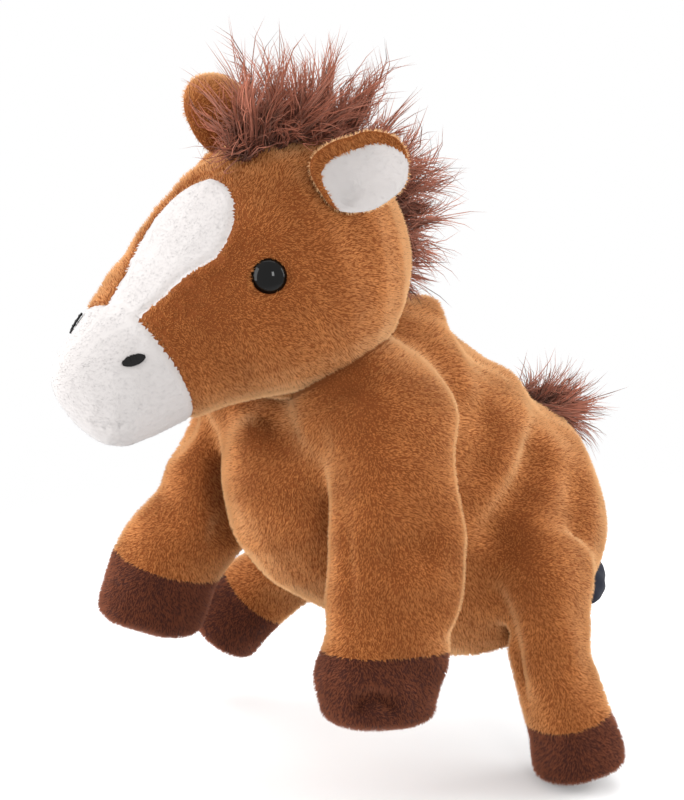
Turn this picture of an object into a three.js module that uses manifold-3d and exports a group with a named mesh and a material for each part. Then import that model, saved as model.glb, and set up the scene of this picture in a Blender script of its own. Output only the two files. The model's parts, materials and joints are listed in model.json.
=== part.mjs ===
import * as THREE from "three";
import { mergeVertices } from "three/addons/utils/BufferGeometryUtils.js";
import Module from "manifold-3d";

// Horse hand puppet, millimetres, +Z up. The horse faces -Y and its left side is +X.
// The origin is the centre of the hand opening.

// Cloth and seams
const PLUSH = 2.4;
const LINING = 1.2;
const SEAM = 0.3;
const PANEL_SEAM = 0.4;

// Torso: a bag that rises from the hand opening to the chest
const TORSO_STATIONS = [
  { at: [0, -104, 80], wide: 35, deep: 50 },
  { at: [0, -66, 54], wide: 38, deep: 53 },
  { at: [0, -27, 24], wide: 45, deep: 48.5 },
  { at: [0, -3, 10], wide: 47.5, deep: 47 },
  { at: [0, 23, -6], wide: 43, deep: 41 },
];
const CHEST_ROUND = 46;
const RUMP_ROUND = 34;
const HEM_TILT = 28;
const HEM_AT = [0, -2, -7];
const CUFF_LENGTH = 9;
const CUFF_WALL = 2.2;
const NECK_BORE = 17;
const BELLY_PANEL_WIDTH = 54;

// Head: a round cranium that sits in the neck of the torso and tapers into the muzzle
const HEAD_AT = [2, -98, 118];
const HEAD_TURN = -2;
const HEAD_PITCH = 7;
const HEAD_ROLL = 11;
const CRANIUM = 43;
const NECK_PLAY = 0.8;
const JAW_ROOM = 46.5;
const JAW_ROOM_AT = [0, -9, -3];
const BROW = { ahead: 23, drop: 8, wide: 38, deep: 34 };
const BRIDGE = { ahead: 41, drop: 17, wide: 27, deep: 25 };
const MUZZLE = { ahead: 56, drop: 23, wide: 22.3, deep: 21.5 };
const MUZZLE_ROUND = 21;
const MUZZLE_SEAM_AT = 48;
const MUZZLE_SEAM_LEAN = 22;
const BLAZE_TOP_WIDTH = 31;
const BLAZE_FOOT_WIDTH = 11;
const BLAZE_FOOT_AT = 66;
const BLAZE_TOP_AT = 24;
const EYE_DIAMETER = 12;
const EYE_PROUD = 4.4;
const EYE_SUNK = 2.5;
const EYE_STEM = 4;
const EYE_STEM_LENGTH = 12;
const EYE_AHEAD = 16.4;
const EYE_ANGLE = 34;
const WASHER_DIAMETER = 15;
const WASHER_THICKNESS = 1.6;
const NOSTRIL_LENGTH = 8;
const NOSTRIL_WIDTH = 4.4;
const NOSTRIL_AHEAD = 65;
const NOSTRIL_ANGLE = 36;
const STALL_RADIUS = 11;
const STALL_LENGTH = 11;
const FINGER_HOLE = 15;

// Ears
const EAR_LENGTH = 25;
const EAR_WIDTH = 28;
const EAR_CUP = 6;
const EAR_CLOTH = 1.6;
const EARS = [
  { name: "left", side: 1, lean: 38, back: 9, along: [0.38, 0.05, 0.92], face: [0.75, -0.6, -0.2] },
  { name: "right", side: -1, lean: 42, back: 4, along: [-0.6, -0.18, 0.78], face: [-0.8, -0.25, -0.3] },
];

// Mane and tail
const MANE_FROM = 66;
const MANE_TO = 188;
const MANE_LOCKS = 15;
const MANE_ROWS = 3;
const MANE_LENGTH = 32;
const MANE_BAND = 9;
const TAIL_LOCKS = 13;
const TAIL_LENGTH = 31;
const TAIL_KNOT = 5;

// Legs
const FRONT_LEG = { top: [20, 15], knee: [20, 15], ankle: [20.5, 15], foot: [19.8, 15.5], hoof: 23 };
const HIND_LEG = { top: [20, 17], knee: [14, 13], ankle: [14, 14], foot: [16.5, 16], hoof: 20 };
const LEGS = [
  { name: "front_left", build: FRONT_LEG, joint: [44, -86, 58], foot: [50, -95, -22], bow: [0, 0, 0], swing: [-12, 40] },
  { name: "front_right", build: FRONT_LEG, joint: [-44, -86, 58], foot: [-59, -110, -18], bow: [6, 5, 0], swing: [-12, 30] },
  { name: "hind_left", build: HIND_LEG, joint: [45, -21, 10], foot: [52, -9, -61], bow: [0, -3, 0], swing: [-20, 30] },
  { name: "hind_right", build: HIND_LEG, joint: [-45, -21, 10], foot: [-89, -58, -42], bow: [0, 0, 0], swing: [-30, 15] },
];
const ARMHOLE = 11;
const LEG_GAP = 0.5;
const SOLE = 5;
const SOLE_RISE = 2.2;
const HOOF_EDGE = 4;

const wasm = await Module();
wasm.setup();

const V = (x, y, z) => new THREE.Vector3(x, y, z);
const rad = THREE.MathUtils.degToRad;

// Solids

function solidOf(geometry) {
  const bare = geometry.clone();
  bare.deleteAttribute("normal");
  bare.deleteAttribute("uv");
  const merged = mergeVertices(bare, 1e-5);
  return new wasm.Manifold(
    new wasm.Mesh({
      numProp: 3,
      vertProperties: new Float32Array(merged.attributes.position.array),
      triVerts: new Uint32Array(merged.index.array),
    })
  );
}

function geometryOf(solid) {
  const mesh = solid.getMesh();
  const geometry = new THREE.BufferGeometry();
  geometry.setAttribute("position", new THREE.BufferAttribute(new Float32Array(mesh.vertProperties), 3));
  geometry.setIndex(new THREE.BufferAttribute(new Uint32Array(mesh.triVerts), 1));
  geometry.computeVertexNormals();
  return geometry;
}

function box(width, depth, height, matrix) {
  return solidOf(new THREE.BoxGeometry(width, depth, height).applyMatrix4(matrix));
}

function placed(position, rotation) {
  return new THREE.Matrix4().compose(position, rotation, V(1, 1, 1));
}

// A cylinder from one point to another
function rod(from, to, radius, sides = 20, endRadius = radius) {
  const along = to.clone().sub(from);
  const turn = new THREE.Quaternion().setFromUnitVectors(V(0, 1, 0), along.clone().normalize());
  const geometry = new THREE.CylinderGeometry(endRadius, radius, along.length(), sides);
  return solidOf(geometry.applyMatrix4(placed(from.clone().lerp(to, 0.5), turn)));
}

function ball(centre, radius, around = 28, down = 18) {
  return solidOf(new THREE.SphereGeometry(radius, around, down).translate(centre.x, centre.y, centre.z));
}

// A point of a quarter circle, from its foot to its top
function polar(radius, share) {
  const a = (share * Math.PI) / 2;
  return new THREE.Vector2(share === 1 ? 0 : radius * Math.cos(a), radius * Math.sin(a));
}

// Everything on the far side of a plane, as a block
function halfSpace(point, normal, reach = 400) {
  const turn = new THREE.Quaternion().setFromUnitVectors(V(0, 0, 1), normal.clone().normalize());
  const centre = point.clone().addScaledVector(normal.clone().normalize(), reach / 2);
  return box(reach, reach, reach, placed(centre, turn));
}

// Smooth value through a list of numbers, at t from 0 to 1, that never swells past them
function through(values, t) {
  const last = values.length - 1;
  const at = Math.min(Math.max(t, 0), 1) * last;
  const i = Math.min(Math.floor(at), last - 1);
  const step = (k) => values[Math.min(Math.max(k, 0), last - 1) + 1] - values[Math.min(Math.max(k, 0), last - 1)];
  const slope = (k) => {
    const [before, after] = [step(k - 1), step(k)];
    return before * after <= 0 ? 0 : (2 * before * after) / (before + after);
  };
  const f = at - i;
  const [start, end] = [values[i], values[i + 1]];
  const [rise, settle] = [slope(i), slope(i + 1)];
  const ease = f * f * (3 - 2 * f);
  return start + (end - start) * ease + rise * f * (1 - f) ** 2 - settle * f * f * (1 - f);
}

// A soft form: oval sections along a curved spine, with round or flat ends.
// inset shrinks it all round, from and to keep a stretch of its length.
class PlushForm {
  constructor({ stations, across, startCap = 0, endCap = 0, square = 2 }) {
    this.curve = new THREE.CatmullRomCurve3(stations.map((s) => V(...s.at)), false, "centripetal");
    this.curve.arcLengthDivisions = 400;
    this.length = this.curve.getLength();
    this.wide = stations.map((s) => s.wide);
    this.deep = stations.map((s) => s.deep);
    this.across = across.clone().normalize();
    this.startCap = startCap;
    this.endCap = endCap;
    this.square = square;
  }

  // Place, direction and parameter at a distance along the spine, which runs on straight past its ends
  spot(s) {
    const kept = Math.min(Math.max(s, 0), this.length);
    const t = this.curve.getUtoTmapping(0, kept);
    const along = this.curve.getTangent(t);
    return { t, along, centre: this.curve.getPoint(t).addScaledVector(along, s - kept) };
  }

  // Half sizes of the section at a distance along the spine
  section(s, t, inset) {
    const curved = (run, cap) => Math.sqrt(Math.max(0, 1 - (1 - (run - inset) / (cap - inset)) ** 2));
    let round = 1;
    if (this.startCap > 0 && s < this.startCap) round = curved(s, this.startCap);
    if (this.endCap > 0 && this.length - s < this.endCap) round = curved(this.length - s, this.endCap);
    return {
      wide: Math.max(0.05, (through(this.wide, t) - inset) * round),
      deep: Math.max(0.05, (through(this.deep, t) - inset) * round),
    };
  }

  point(s, angle, inset = 0) {
    const { t, along, centre } = this.spot(s);
    const { wide, deep } = this.section(s, t, inset);
    const side = this.across.clone().addScaledVector(along, -this.across.dot(along)).normalize();
    const up = side.clone().cross(along);
    const power = 2 / this.square;
    const swell = (x) => Math.sign(x) * Math.abs(x) ** power;
    return centre
      .addScaledVector(side, wide * swell(Math.cos(angle)))
      .addScaledVector(up, deep * swell(Math.sin(angle)));
  }

  // A point of the surface with its outward normal
  seat(s, angle) {
    const centre = this.point(s, angle);
    const alongStep = this.point(s + 0.5, angle).sub(this.point(s - 0.5, angle));
    const roundStep = this.point(s, angle + 0.02).sub(this.point(s, angle - 0.02));
    return { centre, normal: alongStep.cross(roundStep).normalize() };
  }

  // How far the surface reaches in a direction
  reach(direction) {
    let most = -Infinity;
    for (let s = 0; s <= this.length; s += 1) {
      for (let k = 0; k < 72; k++) most = Math.max(most, this.point(s, (k / 36) * Math.PI).dot(direction));
    }
    return most;
  }

  // Where the rings lie: nested forms share the ones between their ends
  stops(rings, caps, inset, from, to) {
    const start = from ?? inset;
    const end = to ?? this.length - inset;
    const first = from === undefined && this.startCap > 0;
    const final = to === undefined && this.endCap > 0;
    const lo = first ? this.startCap : start;
    const hi = final ? this.length - this.endCap : end;
    const ease = (i) => 1 - Math.cos(((i / caps) * Math.PI) / 2);
    const list = [];
    if (first) for (let i = 1; i < caps; i++) list.push(start + (lo - start) * ease(i));
    list.push(lo);
    for (let i = 0; i <= rings; i++) {
      const s = this.startCap + ((this.length - this.startCap - this.endCap) * i) / rings;
      if (s > lo + 0.5 && s < hi - 0.5) list.push(s);
    }
    list.push(hi);
    if (final) for (let i = caps - 1; i >= 1; i--) list.push(end - (end - hi) * ease(i));
    return { list, start, end };
  }

  solid({ rings = 8, caps = 5, sides = 28, inset = 0, from, to } = {}) {
    const { list, start, end } = this.stops(rings, caps, inset, from, to);
    const points = [this.spot(start).centre];
    for (const s of list) {
      for (let j = 0; j < sides; j++) points.push(this.point(s, (j / sides) * Math.PI * 2, inset));
    }
    points.push(this.spot(end).centre);
    const index = [];
    const id = (i, j) => 1 + i * sides + (j % sides);
    for (let j = 0; j < sides; j++) {
      index.push(0, id(0, j), id(0, j + 1));
      for (let i = 0; i + 1 < list.length; i++) {
        index.push(id(i, j), id(i + 1, j), id(i, j + 1));
        index.push(id(i, j + 1), id(i + 1, j), id(i + 1, j + 1));
      }
      index.push(id(list.length - 1, j + 1), id(list.length - 1, j), points.length - 1);
    }
    const geometry = new THREE.BufferGeometry().setFromPoints(points);
    geometry.setIndex(index);
    return solidOf(geometry);
  }
}

// A sheet of cloth with a thickness, over a grid of points
function cloth(surface, lowest, thickness, along, across) {
  const points = [];
  const lift = (u, v) => {
    const e = 0.004;
    const du = surface(u + e, v).sub(surface(u - e, v));
    const dv = surface(u, v + e).sub(surface(u, v - e));
    return du.cross(dv).normalize();
  };
  for (const side of [0, 1]) {
    for (let i = 0; i <= along; i++) {
      for (let j = 0; j <= across; j++) {
        const [u, v] = [i / along, j / across];
        points.push(surface(u, v).addScaledVector(lift(u, v), lowest + side * thickness));
      }
    }
  }
  const row = across + 1;
  const layer = (along + 1) * row;
  const index = [];
  const quad = (a, b, c, d) => index.push(a, b, c, a, c, d);
  for (let i = 0; i < along; i++) {
    for (let j = 0; j < across; j++) {
      const a = i * row + j;
      quad(a, a + 1, a + row + 1, a + row);
      quad(layer + a, layer + a + row, layer + a + row + 1, layer + a + 1);
    }
  }
  for (let i = 0; i < along; i++) {
    const [a, b] = [i * row, i * row + across];
    quad(a, a + row, layer + a + row, layer + a);
    quad(b + row, b, layer + b, layer + b + row);
  }
  for (let j = 0; j < across; j++) {
    const [a, b] = [j, along * row + j];
    quad(a + 1, a, layer + a, layer + a + 1);
    quad(b, b + 1, layer + b + 1, layer + b);
  }
  const geometry = new THREE.BufferGeometry().setFromPoints(points);
  geometry.setIndex(index);
  return solidOf(geometry);
}

// One lock of hair: a tapered, bending strand of three sides
function lock(root, direction, bend, length, radius) {
  const steps = 3;
  const points = [];
  const side = direction.clone().cross(Math.abs(direction.x) < 0.8 ? V(1, 0, 0) : V(0, 1, 0)).normalize();
  const up = direction.clone().cross(side);
  for (let i = 0; i < steps; i++) {
    const f = i / steps;
    const centre = root
      .clone()
      .addScaledVector(direction, length * f)
      .addScaledVector(bend, length * f * f);
    const size = radius * (1 - 0.6 * f);
    for (let k = 0; k < 3; k++) {
      const a = (k / 3) * Math.PI * 2;
      points.push(
        centre
          .clone()
          .addScaledVector(side, size * Math.cos(a))
          .addScaledVector(up, size * Math.sin(a))
      );
    }
  }
  points.push(root.clone().addScaledVector(direction, length).addScaledVector(bend, length));
  const index = [0, 2, 1];
  for (let i = 0; i + 1 < steps; i++) {
    for (let k = 0; k < 3; k++) {
      const [a, b] = [i * 3 + k, i * 3 + ((k + 1) % 3)];
      index.push(a, b, a + 3, b, b + 3, a + 3);
    }
  }
  const last = (steps - 1) * 3;
  for (let k = 0; k < 3; k++) index.push(last + k, last + ((k + 1) % 3), points.length - 1);
  const geometry = new THREE.BufferGeometry().setFromPoints(points);
  geometry.setIndex(index);
  return solidOf(geometry);
}

// Steady spread of values from -1 to 1 for the natural scatter of hair
const scatter = (i, k) => 2 * ((Math.sin(i * 12.9898 + k * 78.233) * 43758.5453) % 1 + 1) % 2 - 1;

// Materials
const material = (color, roughness, metalness = 0) => new THREE.MeshStandardMaterial({ color, roughness, metalness });
const BROWN = material(0xa8672c, 0.95);
const WHITE = material(0xf2f2f0, 0.95);
const DARK = material(0x53291a, 0.95);
const HAIR = material(0x4a2418, 0.8);
const NAVY = material(0x1b2030, 0.9);
const FILL = material(0xe9e6de, 1.0);
const BLACK = material(0x08080a, 0.12);
const STITCH = material(0x141214, 0.6);
const WASHER = material(0xd9d9d6, 0.5);

const group = new THREE.Group();
group.name = "horse_hand_puppet";

function node(parent, name, solid, look) {
  const mesh = new THREE.Mesh(geometryOf(solid), look.clone());
  mesh.name = name;
  parent.add(mesh);
}

// Torso

const headCentre = V(...HEAD_AT);
const torso = new PlushForm({
  stations: TORSO_STATIONS,
  across: V(1, 0, 0),
  startCap: CHEST_ROUND,
  endCap: RUMP_ROUND,
});
const hemOut = V(0, Math.sin(rad(HEM_TILT)), -Math.cos(rad(HEM_TILT)));
const cupRadius = CRANIUM + NECK_PLAY;

// The torso bag shrunk by inset, with the neck cup grown by the same amount
function torsoBag(inset, detail) {
  const [around, down] = inset > 0 ? [16, 10] : [24, 14];
  const cup = ball(headCentre, cupRadius + inset, around, down);
  const jawRoom = ball(headCentre.clone().add(V(...JAW_ROOM_AT)), JAW_ROOM + inset, around, down);
  return torso.solid({ ...detail, inset }).subtract(cup.add(jawRoom));
}

const FINE = { rings: 5, caps: 4, sides: 24 };
const COARSE = { rings: 4, caps: 3, sides: 14 };
const LIMIT = { rings: 5, caps: 4, sides: 16 };
const neckDown = V(0, 0.42, -1).normalize();
const neckWay = rod(headCentre, headCentre.clone().addScaledVector(neckDown, CRANIUM + 22), NECK_BORE, 16);
const hemCentre = V(...HEM_AT);
const belowHem = (gap) => halfSpace(hemCentre.clone().addScaledVector(hemOut, gap), hemOut);

const legs = LEGS.map((leg) => {
  const joint = V(...leg.joint);
  const foot = V(...leg.foot);
  const side = Math.sign(leg.joint[0]);
  const front = leg.name.startsWith("front");
  const axis = V(side, front ? -0.22 : 0.12, front ? 0 : -0.12).normalize();
  const hinge = axis.clone().multiplyScalar(-side);
  return { ...leg, joint, foot, side, front, axis, hinge };
});

let bag = torsoBag(0, FINE).subtract(torsoBag(PLUSH, COARSE)).subtract(neckWay).subtract(belowHem(0));
let liner = torsoBag(PLUSH + SEAM, COARSE).subtract(torsoBag(PLUSH + SEAM + LINING, COARSE));
liner = liner.subtract(neckWay).subtract(belowHem(-SEAM));
for (const leg of legs.filter((l) => l.front)) {
  const armhole = rod(leg.joint.clone().addScaledVector(leg.axis, -40), leg.joint, ARMHOLE, 16);
  bag = bag.subtract(armhole);
  liner = liner.subtract(armhole);
}

// The chest and belly panel lies between the legs, in front of and below the spine of the bag
const bellyShape = new THREE.Shape([
  new THREE.Vector2(-160, 60),
  new THREE.Vector2(-96, 56),
  new THREE.Vector2(-40, 14),
  new THREE.Vector2(10, -12),
  new THREE.Vector2(10, -80),
  new THREE.Vector2(-160, -80),
]);
function bellyBlock(width) {
  const slab = new THREE.ExtrudeGeometry(bellyShape, { depth: width, bevelEnabled: false });
  const turn = new THREE.Matrix4().makeBasis(V(0, 1, 0), V(0, 0, 1), V(1, 0, 0));
  return solidOf(slab.translate(0, 0, -width / 2).applyMatrix4(turn));
}
const sides = bag.subtract(bellyBlock(BELLY_PANEL_WIDTH + 2 * PANEL_SEAM));
node(group, "side_panel_left", sides.subtract(halfSpace(V(PANEL_SEAM / 2, 0, 0), V(-1, 0, 0))), BROWN);
node(group, "side_panel_right", sides.subtract(halfSpace(V(-PANEL_SEAM / 2, 0, 0), V(1, 0, 0))), BROWN);
node(group, "chest_belly_panel", bag.intersect(bellyBlock(BELLY_PANEL_WIDTH)), BROWN);
node(group, "glove_lining", liner, NAVY);

// The cuff of the lining shows below the hem
const cuffOuter = torso.solid({ ...FINE, inset: SEAM + 0.5 });
const cuffInner = torso.solid({ ...COARSE, inset: SEAM + 0.5 + CUFF_WALL });
const cuff = cuffOuter.subtract(cuffInner).intersect(belowHem(SEAM)).subtract(belowHem(CUFF_LENGTH));
node(group, "wrist_cuff", cuff, NAVY);

// Legs: each one is cut back from the torso that it swings past

function turned(geometry, origin, axis, degrees) {
  const matrix = new THREE.Matrix4()
    .makeTranslation(origin.x, origin.y, origin.z)
    .multiply(new THREE.Matrix4().makeRotationAxis(axis, rad(degrees)))
    .multiply(new THREE.Matrix4().makeTranslation(-origin.x, -origin.y, -origin.z));
  return solidOf(geometry.clone().applyMatrix4(matrix));
}

// What a leg must stay clear of: a hind leg the torso at every angle of its swing, a front leg the plane
// that touches the torso under its shoulder
function legLimit(leg, growth, fine = false) {
  if (leg.front) {
    const touch = torso.reach(leg.axis) + growth;
    return halfSpace(leg.axis.clone().multiplyScalar(touch), leg.axis.clone().negate());
  }
  const detail = fine ? FINE : LIMIT;
  const chord = fine ? 0 : 50 * (1 - Math.cos(Math.PI / LIMIT.sides)) + 0.3;
  const still = geometryOf(torso.solid({ ...detail, inset: -growth - chord }));
  const steps = fine ? 5 : 3;
  let swept = solidOf(still);
  for (let i = 0; i <= steps; i++) {
    const angle = leg.swing[0] + ((leg.swing[1] - leg.swing[0]) * i) / steps;
    swept = swept.add(turned(still, leg.joint, leg.hinge, -angle));
  }
  return swept;
}

for (const leg of legs) {
  const { build, joint, foot } = leg;
  const down = foot.clone().sub(joint).normalize();
  const reach = foot.distanceTo(joint);
  const at = (d) => joint.clone().addScaledVector(down, d).toArray();
  const knee = V(...at((reach - build.hoof) * 0.55)).add(V(...leg.bow));
  const shape = {
    stations: [
      { at: at(-build.top[0]), wide: build.top[0], deep: build.top[1] },
      { at: at(0), wide: build.top[0], deep: build.top[1] },
      { at: knee.toArray(), wide: build.knee[0], deep: build.knee[1] },
      { at: at(reach - build.hoof), wide: build.ankle[0], deep: build.ankle[1] },
      { at: at(reach), wide: build.foot[0], deep: build.foot[1] },
    ],
    across: V(0, 1, 0),
    startCap: build.top[0],
    square: 2.2,
  };
  const form = new PlushForm({ ...shape, endCap: HOOF_EDGE });
  const straight = new PlushForm(shape);
  const ankle = form.length - build.hoof;
  const inner = PLUSH + SEAM;
  const top = { rings: 5, caps: 4 };
  const tube = (sides, inset, to) => straight.solid({ ...top, sides, inset, to });
  const way = rod(joint.clone().addScaledVector(leg.axis, -40), joint, ARMHOLE, 14);
  const hollow = tube(12, PLUSH, ankle + 1).subtract(legLimit(leg, LEG_GAP + PLUSH));
  let skin = tube(16, 0, ankle).subtract(legLimit(leg, LEG_GAP, true)).subtract(hollow);
  const soleTop = form.length - SOLE - 2 * SEAM;
  if (leg.front) {
    skin = skin.subtract(way);
    const sleeve = tube(12, inner + 0.1, ankle - SEAM).subtract(legLimit(leg, LEG_GAP + inner));
    const pocket = tube(12, inner + LINING, ankle - SEAM - LINING).subtract(legLimit(leg, LEG_GAP + inner + LINING));
    node(group, `finger_sleeve_${leg.name.slice(6)}`, sleeve.subtract(pocket).subtract(way), NAVY);
    const filling = straight.solid({ ...top, sides: 12, inset: inner, from: ankle, to: soleTop });
    node(group, `hoof_filling_${leg.name}`, filling, FILL);
  } else {
    const filling = tube(12, inner + 0.2, soleTop).subtract(legLimit(leg, LEG_GAP + inner + 0.2));
    node(group, `leg_filling_${leg.name}`, filling, FILL);
  }
  node(group, `leg_${leg.name}`, skin, BROWN);
  const wall = form.solid({ ...top, sides: 16, from: ankle + SEAM, to: form.length - SOLE_RISE });
  const bore = straight.solid({ ...top, sides: 12, inset: PLUSH, from: ankle - 1, to: form.length + 1 });
  node(group, `hoof_${leg.name}`, wall.subtract(bore), DARK);
  const rim = (s) => {
    const { t, centre } = straight.spot(s);
    return { at: centre.toArray(), ...straight.section(s, t, inner + 0.1) };
  };
  const sole = new PlushForm({ ...shape, stations: [rim(form.length - SOLE), rim(form.length)], startCap: 0, endCap: SOLE_RISE });
  node(group, `hoof_sole_${leg.name}`, sole.solid({ rings: 1, caps: 3, sides: 12 }), DARK);
}

// Head

const head = new THREE.Group();
head.name = "head";
head.position.copy(headCentre);
head.rotation.set(rad(HEAD_PITCH), rad(HEAD_ROLL), rad(HEAD_TURN), "ZYX");
group.add(head);

const skull = new PlushForm({
  stations: [
    { at: [0, -MUZZLE.ahead - MUZZLE_ROUND, -MUZZLE.drop], wide: MUZZLE.wide, deep: MUZZLE.deep },
    { at: [0, -MUZZLE.ahead, -MUZZLE.drop], wide: MUZZLE.wide, deep: MUZZLE.deep },
    { at: [0, -BRIDGE.ahead, -BRIDGE.drop], wide: BRIDGE.wide, deep: BRIDGE.deep },
    { at: [0, -BROW.ahead, -BROW.drop], wide: BROW.wide, deep: BROW.deep },
    { at: [0, 0, 0], wide: CRANIUM, deep: CRANIUM },
    { at: [0, CRANIUM * 0.5, 0], wide: CRANIUM, deep: CRANIUM },
    { at: [0, CRANIUM, 0], wide: CRANIUM, deep: CRANIUM },
  ],
  across: V(1, 0, 0),
  startCap: MUZZLE_ROUND,
  endCap: CRANIUM,
});

const HEAD_FINE = { rings: 6, caps: 5, sides: 24 };
const HEAD_COARSE = { rings: 4, caps: 3, sides: 14 };

// Distance along the skull from the muzzle for a place so far ahead of the cranium
function skullRun(ahead) {
  let run = 0;
  while (run < skull.length && -skull.spot(run).centre.y > ahead) run += 0.25;
  return run;
}

const intoHead = head.quaternion.clone().invert();
const fingerWay = neckDown.clone().applyQuaternion(intoHead);
const stuffing = PLUSH + SEAM;
const fromN = (d) => fingerWay.clone().multiplyScalar(d);
const fingerHole = rod(fromN(CRANIUM * 0.6), fromN(CRANIUM + 10), FINGER_HOLE, 20);
let hide = skull.solid(HEAD_FINE);
hide = hide.subtract(skull.solid({ ...HEAD_COARSE, inset: PLUSH })).subtract(fingerHole);
let core = skull.solid({ ...HEAD_COARSE, inset: stuffing });
core = core.subtract(ball(V(0, 0, 0), STALL_RADIUS + 1.2, 14, 10));
core = core.subtract(rod(V(0, 0, 0), fromN(CRANIUM + 4), STALL_RADIUS + 2.4, 16, FINGER_HOLE + 6));

// Eyes with their stems and washers
for (const [name, angle] of [["left", rad(EYE_ANGLE)], ["right", Math.PI - rad(EYE_ANGLE)]]) {
  const { centre, normal } = skull.seat(skullRun(EYE_AHEAD), angle);
  centre.addScaledVector(normal, -EYE_SUNK);
  const turn = new THREE.Quaternion().setFromUnitVectors(V(0, 1, 0), normal);
  const radius = EYE_DIAMETER / 2;
  const profile = [];
  for (let i = 0; i <= 5; i++) {
    const a = (i / 5) * Math.PI / 2;
    profile.push(new THREE.Vector2(radius * Math.sin(a), 2 * SEAM + EYE_PROUD * Math.cos(a)));
  }
  profile[0].x = 0;
  profile.push(new THREE.Vector2(EYE_STEM / 2, 2 * SEAM));
  profile.push(new THREE.Vector2(EYE_STEM / 2, -EYE_STEM_LENGTH));
  profile.push(new THREE.Vector2(0, -EYE_STEM_LENGTH));
  const eye = new THREE.LatheGeometry(profile.reverse(), 14).applyMatrix4(placed(centre, turn));
  node(head, `eye_${name}`, solidOf(eye), BLACK);
  const below = (d) => centre.clone().addScaledVector(normal, -d);
  const seatDepth = stuffing + 0.5;
  const dimple = rod(below(-SEAM), below(-EYE_SUNK - 6), EYE_DIAMETER / 2 + SEAM, 16);
  const washer = rod(below(seatDepth), below(seatDepth + WASHER_THICKNESS), WASHER_DIAMETER / 2, 16);
  const stemHole = rod(below(-2), below(EYE_STEM_LENGTH + SEAM), EYE_STEM / 2 + SEAM, 10);
  node(head, `eye_washer_${name}`, washer.subtract(stemHole), WASHER);
  const seat = rod(below(-2), below(seatDepth + WASHER_THICKNESS + SEAM), WASHER_DIAMETER / 2 + SEAM, 16);
  core = core.subtract(seat).subtract(stemHole);
  hide = hide.subtract(stemHole).subtract(dimple);
}
node(head, "head_stuffing", core, FILL);

// Face panels: muzzle, blaze and the two sides
const lean = V(0, -Math.cos(rad(MUZZLE_SEAM_LEAN)), -Math.sin(rad(MUZZLE_SEAM_LEAN)));
const muzzleSeam = V(0, -MUZZLE_SEAM_AT, -MUZZLE.drop);
const ahead = (gap) => halfSpace(muzzleSeam.clone().addScaledVector(lean, gap), lean);
const blazeShape = (grow) => {
  const [foot, top] = [BLAZE_FOOT_WIDTH / 2 + grow, BLAZE_TOP_WIDTH / 2 + grow];
  const shape = new THREE.Shape();
  shape.moveTo(-foot, -BLAZE_FOOT_AT);
  shape.lineTo(foot, -BLAZE_FOOT_AT);
  shape.lineTo(top, -BLAZE_TOP_AT - top * 0.7);
  shape.absellipse(0, -BLAZE_TOP_AT - top * 0.7, top, top * 0.7 + grow, 0, Math.PI, false);
  shape.lineTo(-foot, -BLAZE_FOOT_AT);
  return shape;
};
const blazeBlock = (grow) => {
  const slab = new THREE.ExtrudeGeometry(blazeShape(grow), { depth: 80, bevelEnabled: false, curveSegments: 10 });
  return solidOf(slab.translate(0, 0, -MUZZLE.drop));
};
const half = PANEL_SEAM / 2;
node(head, "muzzle_panel", hide.intersect(ahead(half)), WHITE);
const crown = hide.subtract(ahead(-half));
node(head, "blaze_panel", crown.intersect(blazeBlock(0)), WHITE);
const cheeks = crown.subtract(blazeBlock(PANEL_SEAM));
node(head, "face_panel_left", cheeks.subtract(halfSpace(V(half, 0, 0), V(-1, 0, 0))), BROWN);
node(head, "face_panel_right", cheeks.subtract(halfSpace(V(-half, 0, 0), V(1, 0, 0))), BROWN);

// The surface that sewn-on pieces rest against
const scalp = skull.solid({ ...HEAD_FINE, inset: -SEAM });

// Nostrils: pads of satin stitch
for (const [name, angle] of [["left", rad(NOSTRIL_ANGLE)], ["right", Math.PI - rad(NOSTRIL_ANGLE)]]) {
  const { centre, normal } = skull.seat(skullRun(NOSTRIL_AHEAD), angle);
  const turn = new THREE.Quaternion().setFromUnitVectors(V(0, 0, 1), normal);
  const pad = new THREE.SphereGeometry(1, 12, 6).scale(NOSTRIL_LENGTH / 2, NOSTRIL_WIDTH / 2, 1.6);
  const seat = centre.clone().addScaledVector(normal, 0.2);
  node(head, `nostril_${name}`, solidOf(pad.applyMatrix4(placed(seat, turn))).subtract(scalp), STITCH);
}

// Ears: a cupped back of brown plush with a white lining inside the cup
for (const { name, side, lean: tilt, back, along: ear, face: cup } of EARS) {
  const out = V(side * Math.sin(rad(tilt)), 0, Math.cos(rad(tilt)));
  const root = out.clone().multiplyScalar(CRANIUM - 3).add(V(0, back, 0));
  const along = V(...ear).normalize();
  const face = V(...cup);
  face.addScaledVector(along, -face.dot(along)).normalize();
  const across = along.clone().cross(face);
  const sheet = (u, v) => {
    const w = 2 * v - 1;
    const leaf = 0.62 + 0.38 * Math.sin(Math.PI * Math.min(1, u * 0.9 + 0.05));
    const tip = Math.sqrt(Math.max(0.02, 1 - Math.max(0, (u - 0.45) / 0.55) ** 2));
    const wide = (EAR_WIDTH / 2) * leaf * tip;
    const rise = EAR_CUP * w * w * (1 - 0.5 * u);
    return root
      .clone()
      .addScaledVector(along, EAR_LENGTH * u)
      .addScaledVector(across, wide * w)
      .addScaledVector(face, rise);
  };
  node(head, `ear_${name}`, cloth(sheet, EAR_CLOTH + SEAM, EAR_CLOTH, 6, 6).subtract(scalp), BROWN);
  node(head, `ear_lining_${name}`, cloth(sheet, 0, EAR_CLOTH, 6, 6).subtract(scalp), WHITE);
}

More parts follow.
